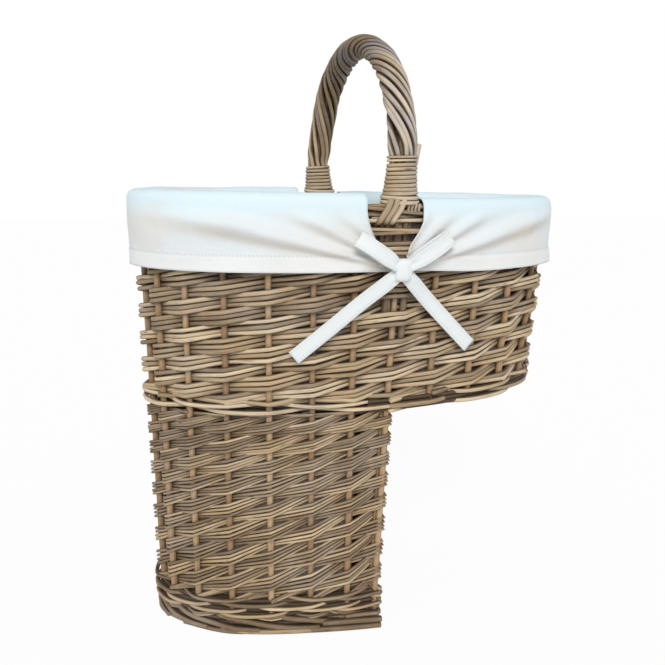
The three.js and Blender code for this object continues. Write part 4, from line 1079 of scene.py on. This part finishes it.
def handle_core():
    """The bent bow itself with the rod pushed in beside each foot."""
    core = Rods(501)
    centre = bow_path(HANDLE_FOOT_LOW, 60, 24)
    across, up = frames(centre)
    grow = smooth(centre[:, 2], 400, 410)[:, None]
    for turn in (0.0, 2 * math.pi / 3, 4 * math.pi / 3):
        around = across * math.cos(turn) + up * math.sin(turn) * HANDLE_FLATNESS
        core.add(centre + around * (1.8 + 1.7 * grow), 2.4 + 0.9 * grow[:, 0])
    for side in (-1, 1):
        heights = np.linspace(SIDE_ROD_LOW, STAKE_HIGH, 20)
        core.add([beside_wall(riser_x(z) + SIDE_ROD_OFFSET, side, 0, z) for z in heights], 3.1, 0.75)
        for x, radius, tint in ((-13.5, 2.3, 0.5), (-8.8, 2.9, 0.2), (0.4, 2.4, 0.9), (8.8, 2.3, 0.8)):
            core.add([beside_wall(x, side, 3, z) for z in np.linspace(366, 391, 6)], radius, tint)
    return core


def handle_twist():
    """Rods laid round the bow: steep where bound and down the back leg, slanting over front and top."""
    twist = Rods(502)
    dice = twist.dice
    path = bow_path(401.5, 130, 26)
    across, up = frames(path)
    along = run_lengths(path)
    free = smooth(path[:, 2], BINDING_HIGH - 2, BINDING_HIGH + 12)
    far = smooth(path[:, 1], 30, HANDLE_HALF_SPAN)
    near_bound = (1 - smooth(path[:, 2], BINDING_HIGH, BINDING_HIGH + 30)) * (1 - far)
    lay = np.interp(path[:, 1], *LAY_ANGLES)
    lay = np.radians(lay + (BOUND_LAY - lay) * near_bound)
    turned = np.concatenate([[0], np.cumsum(np.diff(along) * np.tan(lay[1:]) / LAY_RADIUS)])
    wide, deep = 8.5 + 2.0 * free, 6.1 + 1.7 * free
    for k in range(TWIST_RODS):
        sway = dice.uniform(-0.5, 0.5, 5)
        turn = 2 * math.pi * (k + 0.25 * sway[4]) / TWIST_RODS - turned
        drift = 0.13 * np.sin(along / 57 + 6 * sway[0]) + 0.04 * np.sin(along / 21 + 9 * sway[1])
        turn = turn + free * drift
        puff = free * (0.3 * np.sin(along / 33 + 5 * sway[2]) + 0.3 * sway[3])
        c, s = across * np.cos(turn)[:, None], up * np.sin(turn)[:, None]
        rod = path + c * (wide + puff)[:, None] + s * (deep + puff)[:, None]
        facing = unit(c / wide[:, None] + s / deep[:, None])
        twist.add(rod, (TWIST_ROD + 0.2 * far) * dice.uniform(0.9, 1.08), None, facing)
    # The end of one rod stands out of the front binding
    twist.add(path_through([(12.2, -106, 434), (13.4, -106.4, 443), (14.8, -106.4, 450)], 6), 2.2, 0.7)
    return twist


def handle_binding(side):
    """One thin rod wound round a leg of the handle, eight turns in front and seven at the back."""
    binding = Rods(503)
    loops, high = (8, BINDING_HIGH - 4.5) if side < 0 else (7, BINDING_HIGH - 6.5)
    pitch = (high - BINDING_LOW) / loops
    stops = []
    for t in np.linspace(0, loops, loops * 20 + 1):
        wobble = 0.35 * math.sin(2.3 * t + side)
        flare = 2.2 * (1 - t / loops) ** 1.6
        size = (11.9 + 0.6 * wobble + flare, 9.5 + flare)
        centre = bow_point(side, BINDING_LOW + pitch * t + 0.25 * wobble)
        stops.append(oval_ring(centre, 2 * math.pi * t, size))
    binding.lengths(stops, BINDING_ROD, 700, 900, tip=0.9)
    if side < 0:
        for top, size in ((BINDING_HIGH - 1.8, 12.2), (BINDING_HIGH + 0.9, 12.6)):
            ring = []
            for a in np.linspace(0.4, 6.8, 36):
                ring.append(oval_ring(bow_point(side, top + 0.5 * math.cos(a)), a, (size, size - 2.4)))
            binding.add(ring, 1.1)
    return binding


def rim_lashing(side):
    """A collar round the handle's leg and three slanting rods that cross the border and tuck in under it."""
    lashing = Rods(504)
    centre = bow_point(side, COLLAR_HEIGHT)
    centre[0] += 0.6
    for up, size in ((-0.3, (15.4, 12.8)), (3.5, (15.2, 12.6))):
        angles = np.linspace(0, 2 * math.pi, 40)
        ring = [oval_ring(centre + [0, 0, up + 0.6 * math.sin(a)], a, size) for a in angles]
        lashing.add(ring, COLLAR_ROD, 0.95)
    route = [(0, 404.5, 12.5), (0.35, 397, 12), (0.8, 391, 10.6), (1, 387.6, 9.4), (1, 385, 5), (1, 384, -4)]
    for k in range(3):
        high = LASHING_X + (k - 1) * 6
        low = high - 8
        stops = [beside_wall(high + (low - high) * share, side, out, z) for share, z, out in route]
        lashing.add(path_through(stops, 6), LASHING_ROD)
    for n in range(4):
        x = 8.0 + 3.3 * n
        stops = [beside_wall(x, side, 8.5 + 2.5 * smooth(z, 396, 402), z) for z in (395, 398, 401)]
        lashing.add(stops, 1.2, 0.25)
    return lashing


class BASKET_OT_handle(bpy.types.Operator):
    """Bow handle: core, twisted rods, bindings and the lashings that cross the rim"""

    bl_idname = "basket.handle"
    bl_label = "Handle"

    def execute(self, context):
        show_rods(handle_core(), "handle_core", 8, "shaded_willow", ["handle_bow"])
        show_rods(handle_twist(), "handle_twist", 10, "greyed_willow", ["handle_rods"])
        for face, side in (("front", -1), ("back", 1)):
            name = f"handle_binding_{face}"
            show_rods(handle_binding(side), f"{name}_rod", 8, "pale_willow", [name])
            name = f"rim_lashing_{face}"
            show_rods(rim_lashing(side), f"{name}_rods", 8, "pale_willow", [name])
        return {"FINISHED"}


# Bases

BASE_ROW = 3.6


def inside_width(a, b, full, x):
    return b * max(0.0, 1 - abs(x / a) ** full) ** (1 / full)


class BASKET_OT_bases(bpy.types.Operator):
    """Woven floors of the leg and of the shelf"""

    bl_idname = "basket.bases"
    bl_label = "Bases"

    def execute(self, context):
        # Height, first and last row, half-length, half-width and fullness of each floor
        panels = {
            "leg_base": (9.8, riser_x(0) - 8, -176, 185, 81.6, LEG_FULLNESS),
            "shelf_base": (224.3, riser_x(LEG_TOP) - 3, 186, 189, 83, SHELF_FULLNESS),
        }
        for seed, (node, (z, start, stop, a, b, full)) in enumerate(panels.items()):
            rods = Rods(601 + seed)
            way = math.copysign(1, stop - start)
            sticks = [b * s for s in (-0.86, -0.57, -0.28, 0, 0.28, 0.57, 0.86)]
            for y in sticks:
                xs = [x for x in np.linspace(start, stop, 60) if inside_width(a, b, full, x) > abs(y)]
                rods.add([(x, y, z) for x in xs], 2.2)
            for n in range(int(abs(stop - start) / BASE_ROW)):
                x = start + way * BASE_ROW * (n + 0.5)
                reach = inside_width(a, b, full, x) - 1
                if reach < 8:
                    continue
                stops = [(x, -reach, z)]
                for i, y in enumerate(sticks):
                    if abs(y) < reach - 3:
                        stops.append((x, y, z + (3.4 if (i + n) % 2 else -3.4)))
                stops.append((x, reach, z))
                rods.add(path_through(stops, 4), 1.75 * rods.dice.uniform(0.9, 1.05))
            show_rods(rods, f"{node}_rods", 6, "weathered_willow", [node])
        return {"FINISHED"}


# Cotton

# Edge of each cuff beside the handle: heights, and x at these heights
NOTCH_EDGES = {
    -1: ((346, 352, 357, 362, 368, 376, 385, 395), (-4.5, -6.5, -10, -15, -20, -24, -27.2, -29.3)),
    1: ((346, 358, 363, 368, 373, 379, 386, 395), (6.5, 7, 8, 10, 13.6, 17.4, 20.2, 21.4)),
}

# Creases round the knot: bearing, width, size, and the distances where each starts, is full, fades, ends
FOLDS = (
    (0.27, 0.06, 6.2, 10, 50, 140, 225),
    (0.52, 0.07, 4.8, 6, 26, 70, 130),
    (0.8, 0.1, 3.4, 6, 26, 45, 90),
    (1.12, 0.1, 2.6, 6, 22, 40, 80),
)

# Loop and tail of each tie, as (across, up, out) from the knot
TIES = {
    "leg_end": (
        [
            (-5, 3, 19.5), (-13, 9.5, 18), (-26, 18.5, 17), (-36, 25, 18.3), (-39, 27, 20.8),
            (-36, 25, 23.4), (-26, 18.6, 25.5), (-13, 9.5, 25), (-5, 3, 22.5),
        ],
        [(-4, -4, 20), (-13, -11.5, 18), (-32, -27.7, 13), (-60, -51.6, 11), (-87.4, -75, 10.6)],
    ),
    "shelf_end": (
        [
            (5, 3, 19.5), (14, 9, 18), (29, 18.5, 17), (40.5, 25.5, 18.3), (43.8, 27.6, 21),
            (40.5, 25.5, 23.8), (29, 18, 25.8), (14, 9, 25), (5, 3, 22.5),
        ],
        [(4, -5, 20), (12, -12.6, 18), (28, -28, 13), (52, -51, 11), (76.8, -74.7, 10.6)],
    ),
}


def ripple(*place):
    return noise.noise(Vector(place))


def sheet_mesh(name, columns, rows, point):
    """A grid of cloth: point(u, v) gives each place, its (across, down, hem) and how much painted shadow
    falls there under a fold.
    """
    shape = bmesh.new()
    bmesh.ops.create_grid(shape, x_segments=columns, y_segments=rows, size=0.5)
    layer = shape.verts.layers.float_vector.new("cloth")
    valley = shape.verts.layers.float.new("valley")
    for vert in shape.verts:
        place, pattern, shadow_share = point(vert.co.x + 0.5, vert.co.y + 0.5)
        vert.co = Vector(place) * MM
        vert[layer] = Vector(pattern)
        vert[valley] = shadow_share
    bmesh.ops.recalc_face_normals(shape, faces=shape.faces)
    return mesh_from(shape, name)


def thicken(piece, lined=0):
    """Gives the cloth its thickness; lined counts the material slots from its outer to its inner face."""
    wall = piece.modifiers.new("cloth thickness", "SOLIDIFY")
    wall.thickness = bpy.context.scene.basket_cotton.thickness
    wall.offset = 0
    wall.material_offset = wall.material_offset_rim = lined


def angle_at(x, z):
    full = LEG_FULLNESS if x < 0 else SHELF_FULLNESS
    share = min(1.0, abs(x / half_length(z)))
    return math.acos(math.copysign(share ** (full / 2), x))


def cuff_fold(x, z):
    """Creases that run from the bow into the cloth: how far they stand out, and the painted shadow under each
    of them.
    """
    across, rise = abs(x - KNOT_X), z - KNOT_HEIGHT
    bearing = math.atan2(max(rise, 0), across)
    away = math.hypot(across, rise)
    height, valley = 0.8 * math.sin(bearing * 36) * smooth(away, 5, 12) * (1 - smooth(away, 18, 36)), 0.0
    for angle, width, size, start, full, fades, end in FOLDS:
        reach = smooth(away, start, full) * (1 - smooth(away, fades, end))
        height += size * reach * math.exp(-(((bearing - angle) / width) ** 2))
        valley += 0.16 * size * reach * math.exp(-(((bearing - angle + 1.1 * width) / (0.55 * width)) ** 2))
    return float(height), float(min(1, valley))


def cuff_route(direction):
    """Line of a cuff from its tucked edge over the rim to its hem, and the lengths along it."""
    loft = 1.4 if direction < 0 else -2.4
    stops = [(CUFF_IN, 386), (CUFF_IN, 399 + loft / 2), (CUFF_IN + 3.5, 405.6 + loft), (0, 408 + loft)]
    stops += [(CUFF_OUT - 4, 407 + loft), (CUFF_OUT, 401.5 + loft)]
    stops += [(CUFF_OUT + 0.6, 385), (CUFF_OUT + 0.4, 362), (CUFF_OUT, HEM_HEIGHT)]
    path = path_through([(out, 0, z) for out, z in stops], 12)
    return path, run_lengths(path)


def cuff_point(direction):
    """The function that places a point of a cuff: u runs round the rim, v from the tucked edge to the hem."""
    path, along = cuff_route(direction)

    def point(u, v):
        at = v * along[-1]
        out, z, left = np.interp(at, along, path[:, 0]), np.interp(at, along, path[:, 2]), along[-1] - at
        level = RIM_HEIGHT if out < CUFF_OUT - 0.5 else z
        end = angle_at(float(np.interp(level, *NOTCH_EDGES[direction])), level)
        angle = end + (2 * math.pi - 2 * end) * u if direction < 0 else -end + 2 * end * u
        x, y, nx, ny = oval(angle, z)
        flap = float(smooth(398 - z, 0, 14)) if out > 0 else 0.0
        crease, valley = cuff_fold(x, z)
        wave = ripple(x / 38, y / 38, z / 26 + 9 * direction) * 1.5 + ripple(x / 13, y / 13, z / 11) * 0.45
        lift = flap * crease + wave * (0.35 + 0.65 * flap) + (0.7 if left < HEM_WIDTH else 0)
        z -= 3.2 * float(smooth(x, 12, 90) * smooth(380 - z, 0, 36))
        z += 0.8 * ripple(x / 30, y / 30, 3.1) if flap < 1 else 0
        pattern = (u * 470, left, 0.5 + (left - STITCH_WIDTH) / STITCH_SPAN)
        return (x + nx * (out + lift), y + ny * (out + lift), z), pattern, flap * valley

    return point


class BASKET_OT_cuffs(bpy.types.Operator):
    """Cuffs of the liner, turned out over the rim on each side of the handle"""

    bl_idname = "basket.cuffs"
    bl_label = "Cuffs"

    def execute(self, context):
        for name, direction in (("leg_end", -1), ("shelf_end", 1)):
            mesh = sheet_mesh(f"cuff_{name}", 260, 56, cuff_point(direction))
            piece = show(mesh, "cream_cotton", [f"liner_cuff_{name}"])
            thicken(piece)
        return {"FINISHED"}


class BASKET_OT_bag(bpy.types.Operator):
    """Bag of the liner inside the leg and the shelf"""

    bl_idname = "basket.bag"
    bl_label = "Liner bag"

    def execute(self, context):
        shape = bmesh.new()
        layer = shape.verts.layers.float_vector.new("cloth")

        def settle(vert, angle, z):
            x, y, nx, ny = oval(angle, z)
            inset = BAG_INSET + BAG_SHELF_INSET * smooth(z, 215, 232)
            fold = BAG_FOLD_DEPTH - BAG_FOLD_DEPTH * math.cos(BAG_FOLDS * angle)
            fold = inset + (fold + 1.5 * ripple(x / 30, y / 30, z / 60))
            vert.co = Vector((x - nx * fold, y - ny * fold, z)) * MM
            vert[layer] = Vector((angle * 150, z, 0.9))

        def lower(edges, z):
            """Extrudes edges to a height: their points follow the oval, or drop straight at the riser."""
            made = bmesh.ops.extrude_edge_only(shape, edges=edges)["geom"]
            fresh = {item for item in made if isinstance(item, bmesh.types.BMVert)}
            for vert in fresh:
                old = [e.other_vert(vert) for e in vert.link_edges if e.other_vert(vert) not in fresh][0]
                if old in angles:
                    angles[vert] = angles[old]
                    settle(vert, angles[vert], z)
                else:
                    vert.co = (old.co.x, old.co.y, z * MM)
                    vert[layer] = old[layer]
            return [item for item in made if isinstance(item, bmesh.types.BMEdge)]

        ring = bmesh.ops.create_circle(shape, segments=96, radius=1.0, cap_ends=False)["verts"]
        angles = {vert: math.atan2(vert.co.y, vert.co.x) for vert in ring}
        for vert, angle in angles.items():
            settle(vert, angle, BAG_TOP)
        edges = list(shape.edges)
        for z in np.linspace(BAG_TOP, BAG_SHELF, 13)[1:]:
            edges = lower(edges, z)

        # Below the shelf's floor only the leg's half goes on, closed by a line of new points along the riser
        ends = (BAG_OFF_RISER - riser_x(BAG_FLOOR)) / FOOT_HALF_LENGTH
        leg_side = {v for e in edges for v in e.verts if math.cos(angles[v]) < -ends}
        leg_edges = [e for e in edges if all(v in leg_side for v in e.verts)]
        shelf_edges = [e for e in edges if e not in leg_edges]
        tips = [v for v in leg_side if any(e in shelf_edges for e in v.link_edges)]
        tips.sort(key=lambda v: v.co.y)
        chain = [tips[0]]
        for share in (k / 12 for k in range(1, 12)):
            chain.append(shape.verts.new(tips[0].co.lerp(tips[1].co, share)))
            chain[-1][layer] = Vector((share * 170, BAG_SHELF, 0.9))
        chain.append(tips[1])
        riser = [shape.edges.new(pair) for pair in zip(chain, chain[1:])]
        bmesh.ops.contextual_create(shape, geom=shelf_edges + riser)
        edges = leg_edges + riser
        for z in np.linspace(BAG_SHELF, BAG_FLOOR, 16)[1:]:
            edges = lower(edges, z)
        bmesh.ops.contextual_create(shape, geom=edges)
        bmesh.ops.triangulate(shape, faces=[f for f in shape.faces if len(f.verts) > 4])
        bmesh.ops.recalc_face_normals(shape, faces=shape.faces)
        mesh = mesh_from(shape, "liner_bag_cloth")
        piece = show(mesh, "shaded_cotton", ["liner_bag"])
        mesh.materials.append(finish_named("cream_cotton"))
        thicken(piece, lined=1)
        return {"FINISHED"}


def wall_across(side, across, up, out):
    """Point in front of the wall, from the knot's place on it."""
    x, z = KNOT_X + across, KNOT_HEIGHT + up
    x, y, nx, ny = oval(side * angle_at(x, z), z)
    return np.array([x + nx * out, y + ny * out, z])


def ribbon(shape, layer, side, strip, width):
    """Adds one strip of a tie to a mesh: its line is given as (across, up, out) from the knot."""
    path = path_through([wall_across(side, *stop) for stop in strip], 8)
    length = run_lengths(path)
    tangent = unit(directions(path))
    run = np.array(max(strip, key=lambda stop: abs(stop[0]))[:2]) - np.array(strip[0][:2])
    run = run / np.linalg.norm(run)
    wide = np.array([-run[1], 0, run[0]])
    closed = len(strip) > 6
    made = bmesh.ops.create_grid(shape, x_segments=len(path) - 1, y_segments=8, size=0.5)
    for vert in made["verts"]:
        i = int(round((vert.co.x + 0.5) * (len(path) - 1)))
        v = vert.co.y * 2
        across = wide - tangent[i] * np.dot(wide, tangent[i])
        across /= np.linalg.norm(across)
        near = 1 - smooth(min(length[i], length[-1] - length[i]) if closed else length[i], 0, 14)
        half = width / 2 * (1 - (0.26 if closed else 0.1) * near)
        out = np.cross(tangent[i], across)
        bulge = 0.9 * math.cos(v * 1.4) if closed else 0.25 * v * v
        lift = near * 1.8 * math.cos(v * math.pi * 1.5) * 0.5 + bulge
        vert.co = Vector(path[i] + across * half * v + out * lift) * MM
        vert[layer] = Vector((length[i], v * half, 0.5 + (half - abs(v) * half - 1.8) / STITCH_SPAN))


def knot_mesh(name, centre):
    """The wrapped band of a bow: a rounded block with upright pleats."""
    shape = bmesh.new()
    bmesh.ops.create_uvsphere(shape, u_segments=48, v_segments=32, radius=1)
    layer = shape.verts.layers.float_vector.new("cloth")
    wide, deep, tall = KNOT_HALF_SIZE
    for vert in shape.verts:
        x, y, z = vert.co
        block = (abs(x) ** 3.2 + abs(y) ** 3.2 + abs(z) ** 3.2) ** (-1 / 3.2)
        x, y, z = x * block, y * block, z * block
        pleat = 0.35 * math.sin(9 * x + 1.2 * z) + 0.5 * math.exp(-(((x + 0.15 * z) / 0.55) ** 4))
        pinch = 1 - 0.08 * math.cos(3 * z)
        vert[layer] = Vector((x * 9, z * 9, 0.9))
        x, y, z = centre[0] + x * wide * pinch, centre[1] + y * (deep + pleat), centre[2] + z * tall
        vert.co = Vector((x, y, z)) * MM
    return mesh_from(shape, name)


class BASKET_OT_bows(bpy.types.Operator):
    """Bows that tie the cuffs together under the handle"""

    bl_idname = "basket.bows"
    bl_label = "Bows"

    def execute(self, context):
        width = context.scene.basket_cotton.ribbon / MM
        for face, side in (("front", -1), ("back", 1)):
            for end, strips in TIES.items():
                shape = bmesh.new()
                layer = shape.verts.layers.float_vector.new("cloth")
                for strip in strips:
                    ribbon(shape, layer, side, strip, width)
                bmesh.ops.recalc_face_normals(shape, faces=shape.faces)
                piece = show(mesh_from(shape, f"bow_{face}_{end}_tie"), "white_cotton", [f"bow_{face}_{end}"])
                thicken(piece)
            mesh = knot_mesh(f"bow_{face}_knot", wall_across(side, 0.2, 0, KNOT_OUT))
            show(mesh, "white_cotton", [f"bow_{face}_leg_end", f"bow_{face}_shelf_end"])
        return {"FINISHED"}


# Stage


class BASKET_OT_stage(bpy.types.Operator):
    """Floor, lights and camera"""

    bl_idname = "basket.stage"
    bl_label = "Stage"

    def execute(self, context):
        look = context.scene.basket_stage
        scene = context.scene
        shape = bmesh.new()
        bmesh.ops.create_grid(shape, x_segments=1, y_segments=1, size=FLOOR_HALF_SIZE)
        bmesh.ops.translate(shape, verts=shape.verts, vec=(0, 0, -FLOOR_DROP))
        mesh = mesh_from(shape, "floor")
        floor = bpy.data.objects.new("floor", mesh)
        scene.collection.objects.link(floor)
        colour = tuple(look.floor)
        f = Finish(bpy.data.materials.new("floor"))
        paint = f.mix(f.noise(f.place(), 60.0, 2.0), colour, toned(colour, 0.97))
        matt = f.node("ShaderNodeBsdfDiffuse", {}, {"Color": paint})
        pale = f.node("ShaderNodeEmission", {}, {"Color": WHITE, "Strength": 1.0})
        seen = f.node("ShaderNodeMixShader", {}, {0: f.direct_rays() * FLOOR_PALENESS, 1: matt, 2: pale})
        mesh.materials.append(f.output("ShaderNodeOutputMaterial", seen))

        w = Finish(bpy.data.worlds.new("studio"))
        room = w.node("ShaderNodeBackground", {}, {"Color": ROOM_COLOUR, "Strength": look.fill})
        white = w.node("ShaderNodeBackground", {}, {"Color": WHITE})
        seen = w.node("ShaderNodeMixShader", {}, {0: w.direct_rays(), 1: room, 2: white})
        scene.world = w.output("ShaderNodeOutputWorld", seen)

        key = bpy.data.lights.new("key", "SUN")
        key.energy = look.key
        key.angle = math.radians(KEY_SPREAD)
        key.color = KEY_COLOUR
        lamp = bpy.data.objects.new("key", key)
        lamp.rotation_euler = Vector(KEY_FROM).to_track_quat("Z", "Y").to_euler()
        scene.collection.objects.link(lamp)

        camera = bpy.data.cameras.new("camera")
        camera.sensor_width = SENSOR
        camera.lens = SENSOR * FOCAL_PIXELS / PICTURE
        camera.shift_y = SHIFT_PIXELS / PICTURE
        camera.clip_end = 50
        holder = bpy.data.objects.new("camera", camera)
        right, back = Vector(CAMERA_RIGHT).normalized(), Vector(CAMERA_BACK).normalized()
        turn = Matrix((right, back.cross(right).normalized(), back)).transposed().to_4x4()
        holder.matrix_world = Matrix.Translation(Vector(CAMERA_PLACE) * MM) @ turn
        scene.collection.objects.link(holder)
        scene.camera = holder
        scene.view_settings.view_transform = "Standard"
        return {"FINISHED"}


PARTS = (
    "stakes", "leg_weave", "body_weave", "wales", "borders", "handle",
    "bases", "bag", "cuffs", "bows", "stage",
)


class BASKET_PT_panel(bpy.types.Panel):
    """Lists the basket's pieces in the sidebar"""

    bl_idname = "BASKET_PT_panel"
    bl_label = "Stair Basket"
    bl_space_type = "VIEW_3D"
    bl_region_type = "UI"
    bl_category = "Stair Basket"

    def draw(self, context):
        for part in PARTS:
            self.layout.operator(f"basket.{part}")
        for name in SETTINGS:
            settings = getattr(context.scene, name)
            for field in settings.__annotations__:
                self.layout.prop(settings, field)


SETTINGS = {"basket_willow": WillowSettings, "basket_cotton": CottonSettings, "basket_stage": StageSettings}
CLASSES = (
    *SETTINGS.values(),
    BASKET_OT_stakes,
    BASKET_OT_leg_weave,
    BASKET_OT_body_weave,
    BASKET_OT_wales,
    BASKET_OT_borders,
    BASKET_OT_handle,
    BASKET_OT_bases,
    BASKET_OT_bag,
    BASKET_OT_cuffs,
    BASKET_OT_bows,
    BASKET_OT_stage,
    BASKET_PT_panel,
)


def register():
    for cls in CLASSES:
        bpy.utils.register_class(cls)
    for name, cls in SETTINGS.items():
        setattr(bpy.types.Scene, name, PointerProperty(type=cls))


def unregister():
    for name in SETTINGS:
        delattr(bpy.types.Scene, name)
    for cls in reversed(CLASSES):
        bpy.utils.unregister_class(cls)


def main():
    register()
    for part in PARTS:
        getattr(bpy.ops.basket, part)()


if __name__ == "__main__":
    main()
